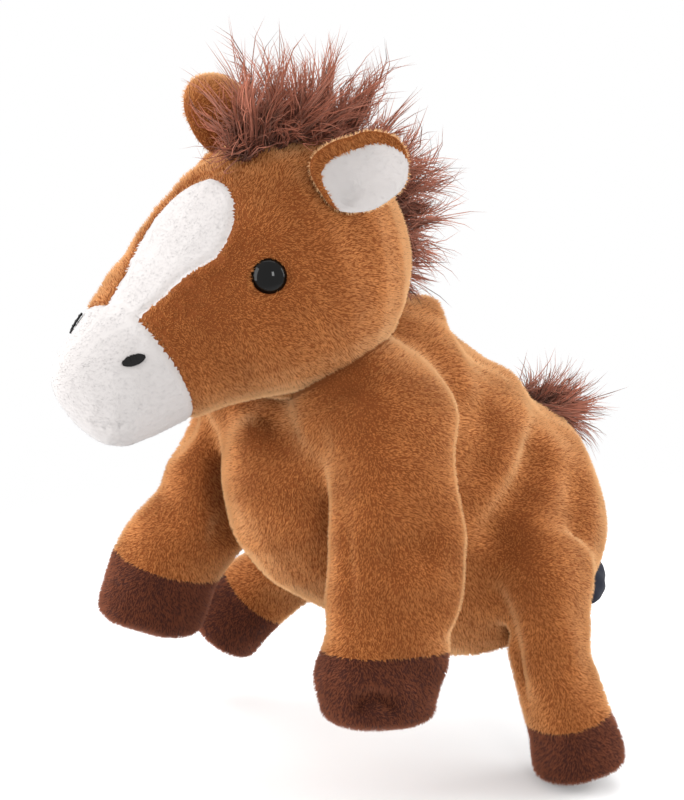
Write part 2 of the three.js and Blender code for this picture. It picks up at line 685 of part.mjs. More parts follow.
// Mane: a band along the crest with standing locks of yarn
const crest = (degrees, x, lift) => {
  const a = rad(degrees);
  const r = Math.sqrt(Math.max(0, (CRANIUM + lift) ** 2 - x * x));
  return V(x, -r * Math.cos(a), r * Math.sin(a));
};
const bandAt = (lift) => (u, v) => crest(MANE_FROM + (MANE_TO - MANE_FROM) * u, (0.5 - v) * MANE_BAND, lift);
let mane = cloth(bandAt(SEAM), 0.1, 2, 16, 2);
for (let i = 0; i < MANE_LOCKS; i++) {
  for (let k = 0; k < MANE_ROWS; k++) {
    const n = i * MANE_ROWS + k;
    const at = MANE_FROM + ((MANE_TO - MANE_FROM) * (i + 0.5)) / MANE_LOCKS;
    const x = (k / (MANE_ROWS - 1) - 0.5) * (MANE_BAND - 3);
    const root = crest(at, x, SEAM + 0.8);
    const out = crest(at, x, 0).normalize();
    const rise = 0.35 * (i / MANE_LOCKS) ** 4;
    const stray = V(x * 0.05 + 0.16 * scatter(n, 1), 0.14 * scatter(n, 2), rise + 0.1 * scatter(n, 3));
    const way = out.clone().add(stray);
    const bend = V(0.12 * scatter(n, 4), 0.12 * scatter(n, 5), 0.06 * scatter(n, 6));
    const length = MANE_LENGTH * (0.87 + 0.13 * scatter(n, 7)) * (1 - 0.26 * (i / MANE_LOCKS) ** 2);
    mane = mane.add(lock(root, way.normalize(), bend, length, 1.5));
  }
}
node(head, "mane", mane.subtract(scalp), HAIR);

// Finger stall: the fingertip pocket of the lining, inside the head
const stallProfile = [new THREE.Vector2(STALL_RADIUS, -STALL_LENGTH)];
for (let i = 0; i <= 4; i++) stallProfile.push(polar(STALL_RADIUS, i / 4));
for (let i = 4; i >= 0; i--) stallProfile.push(polar(STALL_RADIUS - LINING, i / 4));
stallProfile.push(new THREE.Vector2(STALL_RADIUS - LINING, -STALL_LENGTH), stallProfile[0].clone());
const stallTurn = new THREE.Quaternion().setFromUnitVectors(V(0, -1, 0), neckDown);
const stall = new THREE.LatheGeometry(stallProfile, 14).applyMatrix4(placed(headCentre, stallTurn));
node(group, "finger_stall", solidOf(stall), NAVY);

// Tail: a knot on the back seam with a tuft of locks
const rump = torso.seat(torso.length - RUMP_ROUND * 0.95, Math.PI / 2);
const tailRoot = rump.centre.clone().addScaledVector(rump.normal, TAIL_KNOT + SEAM);
const tailWay = rump.normal.clone().multiplyScalar(0.2).add(V(0.05, 0.9, 0)).normalize();
let tail = ball(tailRoot, TAIL_KNOT, 10, 6);
for (let i = 0; i < TAIL_LOCKS; i++) {
  const turn = i * 2.4;
  const open = 0.7 * Math.sqrt((i + 0.5) / TAIL_LOCKS);
  const side = V(1, 0, 0);
  const up = tailWay.clone().cross(side).normalize();
  const way = tailWay
    .clone()
    .addScaledVector(side, open * Math.cos(turn))
    .addScaledVector(up, open * Math.sin(turn))
    .normalize();
  const bend = V(0.1 * scatter(i, 1), 0.1 * scatter(i, 2), 0.1 * scatter(i, 3));
  tail = tail.add(lock(tailRoot.clone(), way, bend, TAIL_LENGTH * (0.88 + 0.12 * scatter(i, 4)), 1.6));
}
node(group, "tail", tail, HAIR);

// The centre of the hand opening is the origin
for (const child of group.children) child.position.sub(hemCentre);

// Where the pieces turn, measured from the origin
group.userData.pivots = { head: headCentre.clone().sub(hemCentre), tail: tailRoot.clone().sub(hemCentre) };
for (const leg of legs) group.userData.pivots[leg.name] = leg.joint.clone().sub(hemCentre);

export default group;
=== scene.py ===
import json
import math

import bmesh
import bpy
import numpy as np
from mathutils import Matrix, Vector
from mathutils.bvhtree import BVHTree
from mathutils.kdtree import KDTree


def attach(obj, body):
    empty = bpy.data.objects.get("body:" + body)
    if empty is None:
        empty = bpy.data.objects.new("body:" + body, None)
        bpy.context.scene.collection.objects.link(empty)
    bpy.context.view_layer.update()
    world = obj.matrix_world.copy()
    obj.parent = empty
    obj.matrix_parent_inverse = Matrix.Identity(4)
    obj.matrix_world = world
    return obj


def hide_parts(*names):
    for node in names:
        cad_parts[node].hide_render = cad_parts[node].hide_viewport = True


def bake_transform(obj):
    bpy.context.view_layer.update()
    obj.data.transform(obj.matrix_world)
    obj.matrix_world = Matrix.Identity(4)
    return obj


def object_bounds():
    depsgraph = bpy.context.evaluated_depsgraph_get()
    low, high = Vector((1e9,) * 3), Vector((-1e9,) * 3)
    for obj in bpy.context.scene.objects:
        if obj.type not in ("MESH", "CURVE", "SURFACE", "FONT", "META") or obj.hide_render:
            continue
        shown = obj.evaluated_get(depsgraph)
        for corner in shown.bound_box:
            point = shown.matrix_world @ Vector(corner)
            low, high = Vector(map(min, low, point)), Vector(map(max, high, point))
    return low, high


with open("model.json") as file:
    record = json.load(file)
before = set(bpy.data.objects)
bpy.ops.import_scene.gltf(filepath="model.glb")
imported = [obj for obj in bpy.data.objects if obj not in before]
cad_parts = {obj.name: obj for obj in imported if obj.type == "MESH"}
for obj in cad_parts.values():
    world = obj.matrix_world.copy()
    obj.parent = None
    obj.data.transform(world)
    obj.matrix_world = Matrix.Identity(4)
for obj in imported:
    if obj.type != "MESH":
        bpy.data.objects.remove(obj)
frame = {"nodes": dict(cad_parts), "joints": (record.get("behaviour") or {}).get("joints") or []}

CAD_BOX = [list(corner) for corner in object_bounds()]
MM = 0.001


def mm(*values):
    return [v * MM for v in values]


NODES = frame["nodes"]
JOINT_AT = {j["name"]: np.array(j["pos_m"], float) for j in frame["joints"]}
SIDES = ("left", "right")
LEGS = [f"{pair}_{side}" for pair in ("front", "hind") for side in SIDES]
PANELS = ["side_panel_left", "side_panel_right", "chest_belly_panel"]
SEED = 7
FULL_TURN = 6.283
POLE = 1e-6  # radius of the ring of points at a pole
WELD, SNAP = mm(0.02, 0.05)  # points that are one, and points that lie on a cut
ASKEW = [0.3, 0.9, 0.2]  # along no axis that is used

# The view of the photograph: pixels of a 684 x 800 picture.
PICTURE = (684, 800)
VIEW_TURN, VIEW_RISE, VIEW_FAR = 52, 15, 800 * MM
VIEW_AT = np.array([0, -68, 76]) * MM
PIXEL = 0.325 * MM

# Skins: voxel and smoothing passes of each, and how far they lie inside the pile.
TORSO_MADE, LEG_MADE, SKIN_MADE, HEAD_MADE = (2 * MM, 1), (1.5 * MM, 4), (1.35 * MM, 8), (1.2 * MM, 7)
SMOOTHING, EASE_STEPS = 0.5, 20
SKIN_INSET = 0.9 * MM
WAVE, WAVE_HIGH = 55.0, 0.35 * MM

# Pile of each plush: length, width, tufts on a square millimetre, lean, pull towards the middle of a clump.
PILE = {
    "brown": (1.6 * MM, 0.34 * MM, 4.6, 0.34, 0.14),
    "white": (0.8 * MM, 0.40 * MM, 4.6, 0.5, 0.0),
    "hoof": (1.6 * MM, 0.36 * MM, 4.4, 0.36, 0.14),
}
PILE_SINK = 0.35 * MM
CLUMP, PILE_MOST, QUICK_PILE = 9, 45000, 0.35
PILE_AT_SEAM, SEAM_NEAR = 0.7, 1.4 * MM
SWIRL, SWIRLS = 0.14, (np.array([310, 170, 90]), np.array([-120, 260, 330]))
# Spread of the tufts: stray aim, least and most reach and girth, and how much the clump and the tuft itself tone it.
PILE_STRAY, PILE_REACH, PILE_GIRTH, PILE_TONE = 0.1, (0.75, 1.15), (0.75, 1.25), (0.55, 0.45)

# Legs: where the leg comes free of the body, where and over what length it bends, and the hoof.
FREE_FROM = {"front": 15 * MM, "hind": 17 * MM}
BEND_FROM, BEND_OVER = mm(1.5, 26)
HOOF_HEIGHT = {"front": 23 * MM, "hind": 20 * MM}
HOOF_NEAR, LEG_NEAR = mm(45, 40)
# The gap behind a free leg, and where it starts and is full, counted from where the leg comes free.
LEG_GAP, GAP_STARTS, GAP_FULL = mm(3.6, -12, -2)
# Shoulders: a ball in each armhole, filling as place and size in millimetres, and how far they are smoothed.
ARM_PLUG, ARM_PLUG_IN = 13.5 * MM, [0.88, 1, 1]
SHOULDER_FILL = [((30, -79, 79), (25, 27, 24)), ((-30, -79, 79), (25, 27, 24))]
SHOULDER_ALONG, SHOULDER_ROUND, SHOULDER_PASSES = mm(6, -8), mm(58, 34), 150

# Head: place and turn as in the CAD.
HEAD_AT = JOINT_AT["head_nod"]
HEAD_PITCH, HEAD_ROLL, HEAD_TURN = 7, 11, -2
HEAD_TURNED = np.array(
    Matrix.Rotation(math.radians(HEAD_TURN), 3, "Z")
    @ Matrix.Rotation(math.radians(HEAD_ROLL), 3, "Y")
    @ Matrix.Rotation(math.radians(HEAD_PITCH), 3, "X")
)
NECK_DOWN = np.array([0, 0.404, -0.915])
CRANIUM = 43 * MM
FINGER_HOLE, NECK_DEEP, NECK_BARE, HEAD_CLEAR = mm(14, 8, 40, 0.2)
COLLAR_TIGHT, COLLAR_ENDS, COLLAR_FULL = mm(1.4, 6, 2)

# Hem and cuff.
HEM_OUT = np.array([0, 0.469472, -0.882948])
HEM_NEAR, HEM_WIDEST, HEM_EASE = 60 * MM, 24 * MM, 8
LINING_GAP = 3.0 * MM
# Caps that shut the openings while a skin is made: middle, axis, inner and outer radius, half angle.
NECK_CAP = (HEAD_AT, NECK_DOWN, CRANIUM + 0.8 * MM, CRANIUM + 3.6 * MM, 28)
HEAD_CAP = (HEAD_AT, NECK_DOWN, CRANIUM - 3 * MM, CRANIUM - 0.2 * MM, 32)
CUFF_CAP = (HEM_OUT * -995 * MM, HEM_OUT, 1000 * MM, 1004 * MM, 1.95)
CAP_STEPS, CAP_AROUND = 6, 40


def unit(v):
    v = np.asarray(v, float)
    return v / np.maximum(np.linalg.norm(v, axis=-1, keepdims=True), 1e-12)


def smooth(x, low=0.0, high=1.0):
    t = np.clip((np.asarray(x, float) - low) / (high - low), 0, 1)
    return t * t * (3 - 2 * t)


def apart(p, at):
    """Distances of points from a point."""
    return np.linalg.norm(p - at, axis=1)


def aside(p, at, axis):
    """Distances of points from the line through at along axis."""
    return np.linalg.norm(np.cross(p - at, axis), axis=1)


def ring(count):
    """Angles around a full turn."""
    return np.linspace(-math.pi, math.pi, count, endpoint=False)


def evened(values, passes):
    """Values around a ring, each drawn towards its neighbours."""
    for _ in range(passes):
        values = (np.roll(values, 1) + 2 * values + np.roll(values, -1)) / 4
    return values


# --- camera ---
TURN, RISE = math.radians(VIEW_TURN), math.radians(VIEW_RISE)
BACKWARD = np.array([math.sin(TURN) * math.cos(RISE), -math.cos(TURN) * math.cos(RISE), math.sin(RISE)])
RIGHT = np.array([math.cos(TURN), math.sin(TURN), 0])
UPWARD = np.cross(BACKWARD, RIGHT)
EYE = VIEW_AT + BACKWARD * VIEW_FAR
FOCAL = VIEW_FAR / PIXEL


def sight(px, py):
    """Direction from the camera through a pixel of the photograph."""
    return unit(RIGHT * (px - PICTURE[0] / 2) + UPWARD * (PICTURE[1] / 2 - py) - BACKWARD * FOCAL)


# --- meshes ---
def link(name, data):
    obj = bpy.data.objects.new(name, data)
    bpy.context.scene.collection.objects.link(obj)
    return obj


def read(items, key, width=3, kind=np.float32):
    """One property of all items, as rows of numbers."""
    flat = np.empty(len(items) * width, kind)
    items.foreach_get(key, flat)
    return flat.reshape(-1, width)


def points_of(mesh):
    return read(mesh.vertices, "co").astype(float)


def normals_of(mesh):
    return read(mesh.vertex_normals, "vector").astype(float)


def faces_of(mesh):
    return [tuple(p.vertices) for p in mesh.polygons]


def triangles_of(mesh):
    """Corners of the mesh's triangles, and the face that each comes from."""
    mesh.calc_loop_triangles()
    made = mesh.loop_triangles
    return read(made, "vertices", 3, np.int32), read(made, "polygon_index", 1, np.int32)[:, 0]


def put_points(mesh, co):
    mesh.vertices.foreach_set("co", np.asarray(co, np.float32).ravel())
    mesh.update()


def mesh_from(name, points, faces):
    mesh = bpy.data.meshes.new(name)
    mesh.from_pydata([tuple(p) for p in points], [], faces)
    mesh.update()
    mesh.polygons.foreach_set("use_smooth", np.ones(len(mesh.polygons), bool))
    return mesh


def bent_normals(mesh, normals):
    """Gives the mesh's points normals of their own."""
    mesh.normals_split_custom_set_from_vertices([tuple(n) for n in normals])


def made_plain(obj):
    """A plain mesh of the object as its modifiers leave it."""
    return bpy.data.meshes.new_from_object(obj.evaluated_get(bpy.context.evaluated_depsgraph_get()))


def soften(obj, passes, group=""):
    ease = obj.modifiers.new("soften", "SMOOTH")
    ease.factor, ease.iterations, ease.vertex_group = SMOOTHING, passes, group


def quads(rows, around, flip=False):
    """Faces between rows of points that each go once around."""
    faces = []
    for i in range(rows - 1):
        for k in range(around):
            a, b = i * around + k, i * around + (k + 1) % around
            faces.append((a, a + around, b + around, b) if flip else (a, b, b + around, a + around))
    return faces


def turned(profile, at, axis, around=32):
    """Points and faces of a turned shape: profile of (radius, height), standing on at along axis."""
    z = unit(axis)
    x = unit(np.cross(z, ASKEW))
    y = np.cross(z, x)
    angles = [2 * math.pi * k / around for k in range(around)]
    points = [at + (x * math.cos(a) + y * math.sin(a)) * r + z * h for r, h in profile for a in angles]
    return points, quads(len(profile), around)


def lathe(name, profile, at, axis, around=32):
    """A turned shape as an object, closed at its poles and where its profile ends on its start."""
    mesh = mesh_from(name, *turned(profile, at, axis, around))
    bm = bmesh.new()
    bm.from_mesh(mesh)
    bmesh.ops.remove_doubles(bm, verts=bm.verts, dist=WELD)
    bm.to_mesh(mesh)
    bm.free()
    return link(name, mesh)


def cap(at, axis, low, high, angle):
    """A closed part of a ball's shell about at."""
    steps = [math.radians(angle) * i / CAP_STEPS for i in range(CAP_STEPS + 1)]
    inner, outer = ([(r * math.sin(a) + POLE, r * math.cos(a)) for a in steps] for r in (low, high))
    return turned(inner + outer[::-1], at, axis, CAP_AROUND)


def ball(steps, radius=1.0):
    """Profile of a ball, from its lower pole to its upper one."""
    turn = [math.pi * i / steps for i in range(steps + 1)]
    return [(radius * math.sin(a) + POLE, -radius * math.cos(a)) for a in turn]


def filler(at, size):
    """A ball stretched to size about at, both in millimetres."""
    points, faces = turned(ball(16), np.zeros(3), (0, 0, 1))
    return [np.array(at) * MM + np.array(p) * np.array(size) * MM for p in points], faces


def fused(name, nodes, extra, voxel, passes):
    """One closed skin around copies of CAD nodes and extra (points, faces), smoothed."""
    points, faces = [], []
    for more, loops in [(points_of(NODES[n].data), faces_of(NODES[n].data)) for n in nodes] + extra:
        at = len(points)
        points += list(more)
        faces += [tuple(i + at for i in f) for f in loops]
    obj = link(name, mesh_from(name, points, faces))
    remesh = obj.modifiers.new("skin", "REMESH")
    remesh.mode, remesh.voxel_size, remesh.use_smooth_shade = "VOXEL", voxel, True
    soften(obj, passes)
    mesh = made_plain(obj)
    mesh.name = name
    bpy.data.objects.remove(obj)
    return mesh


def tree_of(mesh):
    return BVHTree.FromPolygons([Vector(p) for p in points_of(mesh)], faces_of(mesh))


def nearest(tree, points):
    """The nearest places on a tree, and how far they are."""
    found = [tree.find_nearest(Vector(p)) for p in points]
    return np.array([f[0] for f in found]), np.array([f[3] for f in found])


# --- body and legs ---
class Leg:
    """A leg's line from its joint to the middle of its sole, and the CAD nodes along it."""

    def __init__(self, name):
        self.name = name
        self.pair, self.side = name.split("_")
        self.front, self.free = self.pair == "front", FREE_FROM[self.pair]
        self.joint = JOINT_AT[f"{name}_leg_swing"]
        self.foot = points_of(NODES[f"hoof_sole_{name}"].data).mean(0)
        self.down = unit(self.foot - self.joint)
        self.ankle = float(np.linalg.norm(self.foot - self.joint)) - HOOF_HEIGHT[self.pair]
        inside = [f"finger_sleeve_{self.side}", f"hoof_filling_{name}"] if self.front else [f"leg_filling_{name}"]
        self.nodes = [f"leg_{name}", f"hoof_{name}", f"hoof_sole_{name}"] + inside

    def along(self, p):
        return (np.asarray(p) - self.joint) @ self.down

    def past_ankle(self, p):
        return np.where(apart(p, self.foot) < HOOF_NEAR, self.along(p) - self.ankle, 1.0)


def free_leg(leg):
    """The leg's own skin, pushed clear of the body below where it comes free."""
    mesh = fused(f"leg_{leg.name}_solid", leg.nodes, [], *LEG_MADE)
    co = points_of(mesh)
    at, far = nearest(torso_tree, co)
    want = LEG_GAP * smooth(leg.along(co), leg.free + GAP_STARTS, leg.free + GAP_FULL)
    co += unit(co - at) * np.maximum(want - far, 0)[:, None]
    return list(co), faces_of(mesh)


legs = {name: Leg(name) for name in LEGS}
torso_tree = tree_of(fused("torso_solid", PANELS + ["wrist_cuff"], [], *TORSO_MADE))
arm_plugs = [turned(ball(12, ARM_PLUG), leg.joint * ARM_PLUG_IN, (0, 0, 1)) for leg in legs.values() if leg.front]
fillers = [filler(at, size) for at, size in SHOULDER_FILL]
free_legs = [free_leg(leg) for leg in legs.values()]
extra = [cap(*NECK_CAP), cap(*CUFF_CAP)] + arm_plugs + fillers + free_legs
skin = fused("skin", PANELS + ["wrist_cuff"], extra, *SKIN_MADE)


# --- shaping the skin ---
class Skin:
    """A skin's points while they are shaped by pulls and folds given as pixels of the photograph."""

    def __init__(self, mesh):
        self.mesh = mesh
        self.settle(points_of(mesh))

    def settle(self, co):
        """Takes co as the new shape, with its normals and its tree for sight lines."""
        put_points(self.mesh, co)
        self.co, self.out = points_of(self.mesh), normals_of(self.mesh)
        self.tree = tree_of(self.mesh)
        self.move = np.zeros_like(self.co)

    def apply(self):
        self.settle(self.co + self.move)

    def hit(self, pixel):
        """Where the sight line of a pixel meets the skin, or the point of the skin that is nearest to the line."""
        way = sight(*pixel)
        found = self.tree.ray_cast(Vector(EYE), Vector(way))[0]
        return np.array(self.co[aside(self.co, EYE, way).argmin()] if found is None else found)

    def pull(self, pixel, shift, radius, inward=0.0):
        """Moves the skin about a pixel by shift pixels across the view, and by inward millimetres along it."""
        near = smooth(apart(self.co, self.hit(pixel)), radius * MM, 0)
        way = (RIGHT * shift[0] - UPWARD * shift[1]) * PIXEL - BACKWARD * inward * MM
        self.move += near[:, None] * way

    def line(self, pixels, step=1.2 * MM):
        """Points on the skin along a line of pixels, evenly spaced, with how far along each is from 0 to 1."""
        corners = np.array(pixels, float)
        spans = np.r_[0, np.cumsum(np.linalg.norm(np.diff(corners, axis=0), axis=1))]
        t = np.linspace(0, spans[-1], max(int(spans[-1] * PIXEL / step), 4))
        track = np.stack([np.interp(t, spans, corners[:, k]) for k in (0, 1)], 1)
        for _ in range(2):
            track[1:-1] = (track[:-2] + 2 * track[1:-1] + track[2:]) / 4
        return np.array([self.hit(p) for p in track]), t / spans[-1]

    def fold(self, pixels, height, width, ends=0.25, mirror=False):
        """A soft ridge (height above 0) or valley along a line of pixels, in millimetres."""
        track, along = self.line(pixels)
        if mirror:
            track = track * [-1, 1, 1]
        fade = smooth(along, 0, ends) * smooth(1 - along, 0, ends)
        reach = 3 * width * MM
        close_by = (self.co > track.min(0) - reach) & (self.co < track.max(0) + reach)
        near = np.flatnonzero(close_by.all(1))
        gap = np.linalg.norm(self.co[near, None] - track[None], axis=2)
        closest = gap.argmin(1)
        far = gap[np.arange(len(near)), closest] / (width * MM)
        rise = height * MM * fade[closest] * np.exp(-far * far)
        self.move[near] += self.out[near] * rise[:, None]


def eased(mesh, weight, passes):
    """The mesh's points after smoothing, by weight."""
    obj = link("easing", mesh)
    group = obj.vertex_groups.new(name="ease")
    steps = np.round(np.clip(weight, 0, 1) * EASE_STEPS).astype(int)
    for k in range(1, EASE_STEPS + 1):
        group.add(np.flatnonzero(steps == k).tolist(), k / EASE_STEPS, "REPLACE")
    soften(obj, passes, "ease")
    done = made_plain(obj)
    co = points_of(done)
    bpy.data.objects.remove(obj)
    bpy.data.meshes.remove(done)
    return co


# Outline pulls: pixel on the skin, shift in pixels, reach in millimetres, and how far inward where it is.
PULLS = [
    ((430, 560), (29, 0), 26),
    ((425, 620), (16, 6), 20),
    ((440, 490), (17, 0), 22),
    ((448, 420), (9, 0), 18),
    ((438, 665), (12, 0), 15),
    ((322, 680), (-8, 2), 15),
    ((316, 630), (4, 0), 12),
    ((590, 606), (-5, 0), 18),
    ((602, 535), (4, 0), 24),
    ((603, 460), (-4, 1), 18),
    ((615, 745), (8, 3), 16),
    ((172, 415), (30, 0), 19),
    ((164, 445), (6, 0), 14),
    ((135, 520), (-9, -2), 20),
    ((224, 535), (-7, 0), 11),
    ((140, 630), (1, -5), 14),
    ((285, 615), (-5, -8), 14),
    ((240, 605), (-16, -17), 42),
    ((470, 338), (-8, 12), 21),
    ((425, 300), (9, -4), 14),
    ((518, 380), (3, -9), 14),
    ((586, 556), (0, 0), 15, 4.5),  # the top of the near hind leg lies in with the rump
]
# Folds: line of pixels, height in millimetres (below 0 for a valley), half width, mirrored on the far side.
FOLDS = [
    (((421, 338), (455, 366), (474, 412)), 2.8, 8.0, True),
    (((521, 375), (522, 415), (502, 472), (476, 522)), 2.4, 9.0, True),
    (((540, 415), (529, 482), (498, 530), (480, 560)), -5.2, 5.5, True),
    (((560, 430), (549, 490), (520, 545)), 2.6, 6.5, True),
    (((590, 455), (593, 510), (589, 550)), 1.6, 6.0, True),
    (((575, 470), (575, 510), (572, 540)), -1.8, 5.0, True),
    (((490, 395), (486, 440), (474, 500)), -1.8, 6.0, True),
    (((322, 425), (314, 455), (322, 490)), -3.6, 4.0, True),
    (((308, 428), (324, 458), (337, 480), (344, 530), (349, 588), (351, 648)), -1.2, 2.4, False),
    (((285, 405), (300, 430), (322, 470)), 1.2, 7.0, True),
    (((262, 410), (285, 440), (300, 470)), -1.8, 6.0, True),
    (((468, 560), (496, 594), (512, 640), (526, 715)), -3.0, 3.5, True),
    (((482, 556), (512, 596), (530, 650), (540, 710)), 1.8, 5.0, False),
    (((545, 585), (570, 640), (580, 700)), 1.4, 5.0, False),
    (((385, 600), (420, 580), (455, 575)), 1.6, 6.0, False),
    (((375, 565), (410, 545), (445, 540)), -1.6, 6.0, False),
    (((350, 712), (362, 702), (376, 697), (390, 702), (402, 711)), -4.0, 2.4, False),
]
FAR_FOLD_HIGH, FAR_FOLD_WIDE = 0.9, 1.1
# Places where the plush lies smooth over what is under it: pixel, reach in millimetres, on both sides.
EASED = [((582, 540), 20), ((456, 408), 16), ((432, 362), 16), ((300, 425), 13)]
EASE_PASSES, EASE_FULL = 50, 0.3

co = points_of(skin)
shoulders = np.zeros(len(co))
for leg in legs.values():
    high = smooth(leg.along(co), *(leg.free + d for d in SHOULDER_ALONG))
    shoulders = np.maximum(shoulders, high * smooth(apart(co, leg.joint), *SHOULDER_ROUND))
put_points(skin, eased(skin, shoulders, SHOULDER_PASSES))
shape = Skin(skin)
for pull in PULLS:
    shape.pull(*pull)
shape.apply()
for pixels, height, width, mirror in FOLDS:
    shape.fold(pixels, height, width)
    if mirror:
        shape.fold(pixels, height * FAR_FOLD_HIGH, width * FAR_FOLD_WIDE, mirror=True)
shape.apply()
ease = np.zeros(len(shape.co))
for pixel, radius in EASED:
    middle = shape.hit(pixel)
    for flip in (1, -1):
        near = smooth(apart(shape.co, middle * [flip, 1, 1]), radius * MM, radius * EASE_FULL * MM)
        ease = np.maximum(ease, near)
shape.settle(eased(shape.mesh, ease, EASE_PASSES))
# A little unevenness, as cloth has, and the collar drawn in around the head.
x, y, z = shape.co.T * WAVE
wave = np.sin(y * 2 + 3 * np.sin(z)) + np.sin(z * 2.3 + 2 * np.sin(x * 1.7))
from_skull = apart(shape.co, HEAD_AT)
collar = smooth(from_skull, CRANIUM + COLLAR_ENDS, CRANIUM + COLLAR_FULL)
shape.move += shape.out * (wave * WAVE_HIGH - SKIN_INSET * (1 - collar))[:, None]
shape.move += (HEAD_AT - shape.co) * (collar * COLLAR_TIGHT / from_skull)[:, None]
shape.apply()


# --- cutting the skin into its pieces ---
class Cut:
    """A skin cut into labelled pieces that keep the skin's own normals, so that no step shows where they meet."""

    def __init__(self, mesh):
        self.co, self.out = points_of(mesh), normals_of(mesh)
        self.faces, self.source = triangles_of(mesh)
        self.centres = self.co[self.faces].mean(1)

    def piece(self, name, chosen):
        """The chosen faces as an object."""
        faces = self.faces[chosen]
        used, index = np.unique(faces.ravel(), return_inverse=True)
        mesh = mesh_from(name, self.co[used], index.reshape(faces.shape).tolist())
        bent_normals(mesh, self.out[used])
        return link(name, mesh)


def joined(faces, inside, seed):
    """Which of the faces marked inside hang together with the face seed."""
    owners = {}
    for i in np.flatnonzero(inside):
        for v in faces[i]:
            owners.setdefault(int(v), []).append(int(i))
    seen, todo = {seed}, [seed]
    while todo:
        for v in faces[todo.pop()]:
            new = [i for i in owners.get(int(v), ()) if i not in seen]
            seen.update(new)
            todo += new
    mark = np.zeros(len(faces), bool)
    mark[list(seen)] = True
    return mark


def parted(mesh, value):
    """The mesh cut into triangles along value = 0. value gives a signed distance for points."""
    co = points_of(mesh)
    v = value(co)
    v[np.abs(v) < SNAP] = 0
    points, faces, made = list(co), [], {}

    def crossing(a, b):
        key = (min(a, b), max(a, b))
        if key not in made:
            made[key] = len(points)
            points.append(co[a] + (co[b] - co[a]) * (v[a] / (v[a] - v[b])))
        return made[key]

    for a, b, c in triangles_of(mesh)[0].tolist():
        if min(v[a], v[b], v[c]) >= 0 or max(v[a], v[b], v[c]) <= 0:
            faces.append((a, b, c))
            continue
        while not (v[a] * v[b] <= 0 and v[a] * v[c] < 0):
            a, b, c = b, c, a
        ac = crossing(a, c)
        if v[b] == 0:
            faces += [(a, b, ac), (b, c, ac)]
        else:
            ab = crossing(a, b)
            faces += [(a, ab, ac), (ab, b, c), (ab, c, ac)]
    return mesh_from(mesh.name, points, faces)


def below_hem(p):
    return np.where(np.linalg.norm(p, axis=1) < HEM_NEAR, p @ HEM_OUT, -1.0)


def in_finger_hole(p):
    return (aside(p, HEAD_AT, NECK_DOWN) < FINGER_HOLE) & ((p - HEAD_AT) @ NECK_DOWN > 0)


for leg in legs.values():
    skin = parted(skin, leg.past_ankle)
skin = parted(skin, below_hem)

cut = Cut(skin)
leg_of = np.full(len(cut.faces), "", dtype=object)
hoof_of = leg_of.copy()
for leg in legs.values():
    beyond = leg.along(cut.co) > leg.free
    inside = beyond[cut.faces].all(1) & (aside(cut.centres, leg.joint, leg.down) < LEG_NEAR)
    mine = joined(cut.faces, inside, int(np.argmin(apart(cut.centres, leg.foot))))
    hoof = mine & (leg.along(cut.centres) > leg.ankle)
    leg_of[mine & ~hoof], hoof_of[hoof] = leg.name, leg.name
in_torso = (leg_of == "") & (hoof_of == "")
hem_faces = (below_hem(cut.centres) > 0) & in_torso
neck_hole = in_finger_hole(cut.centres) & (apart(cut.centres, HEAD_AT) < CRANIUM + NECK_DEEP)
torso_faces = in_torso & ~hem_faces & ~neck_hole
panel_far = [nearest(tree_of(NODES[n].data), cut.centres[torso_faces])[1] for n in PANELS]
panel_of = np.full(len(cut.faces), -1)
panel_of[torso_faces] = np.argmin(np.stack(panel_far), axis=0)

pieces = {}
for k, n in enumerate(PANELS):
    pieces[n] = cut.piece(n.replace("panel", "plush"), panel_of == k)
for name in LEGS:
    pieces[f"leg_{name}"] = cut.piece(f"leg_plush_{name}", leg_of == name)
    pieces[f"hoof_{name}"] = cut.piece(f"hoof_plush_{name}", hoof_of == name)


# --- head ---
MUZZLE_AT, MUZZLE_TILT = np.array([0, -46, -23]) * MM, math.radians(22)
MUZZLE_OUT = np.array([0, -math.cos(MUZZLE_TILT), -math.sin(MUZZLE_TILT)])
# The muzzle's seam runs further ahead on the far side, by this share of the distance from the middle.
MUZZLE_FAR = 0.3
# Blaze: places along the face, half widths, and how far its top leans aside; below BLAZE_ABOVE there is none.
BLAZE_LOW, BLAZE_LEAN, BLAZE_SHOULDER, BLAZE_TOP = mm(-66, -45, -35, -22)
BLAZE_NARROW, BLAZE_WIDE, BLAZE_ASIDE, BLAZE_ABOVE = mm(3.2, 16, 5.5, -14)
SEAM_DEEP, SEAM_WIDE, THROAT = mm(0.7, 1.1, -10)
# Under the blaze the muzzle's seam is shallower, by this share over this distance.
SEAM_SHALLOW, SEAM_FADES = 0.75, mm(-1, 2)
# Mouth and ear crease: line of pixels, height, half width.
MOUTH = (((84, 421), (104, 430), (131, 429)), -0.9, 1.2)
EAR_CREASE = (((345, 211), (350, 198), (361, 180)), -1.5, 2.2, 0.4)
# Pulls of the head's outline: pixel, shift in pixels, reach in millimetres.
HEAD_PULLS = [
    ((195, 148), (19, 8), 15),
    ((155, 176), (30, 18), 17),
    ((135, 212), (10, 6), 12),
    ((120, 246), (6, 1), 10),
    ((108, 272), (-6, -2), 12),
    ((90, 302), (-7, -2), 13),
    ((68, 375), (-12, 2), 20),
    ((120, 432), (-3, 8), 18),
]
# Eyes: size, place in the photograph, and how many degrees round the head the far one sits from the CAD one.
EYE_RADIUS, EYE_PROUD, EYE_SET, EYE_BACK = mm(5.8, 4.2, 1.0, 2)
EYE_PIXEL, EYE_ROUND, EYE_STEPS, EYE_FOOT, EYE_AHEAD = (268, 277), 23, 14, 0.9, 20 * MM
EYE_PLUG = [(POLE, -7 * MM), mm(7.5, -6), mm(7.5, -1.4), (POLE, -0.6 * MM)]
STEM, STEM_PAST, WASHER, WASHER_THICK, WASHER_DEEP = mm(1.8, 3, 6.5, 1, 8)


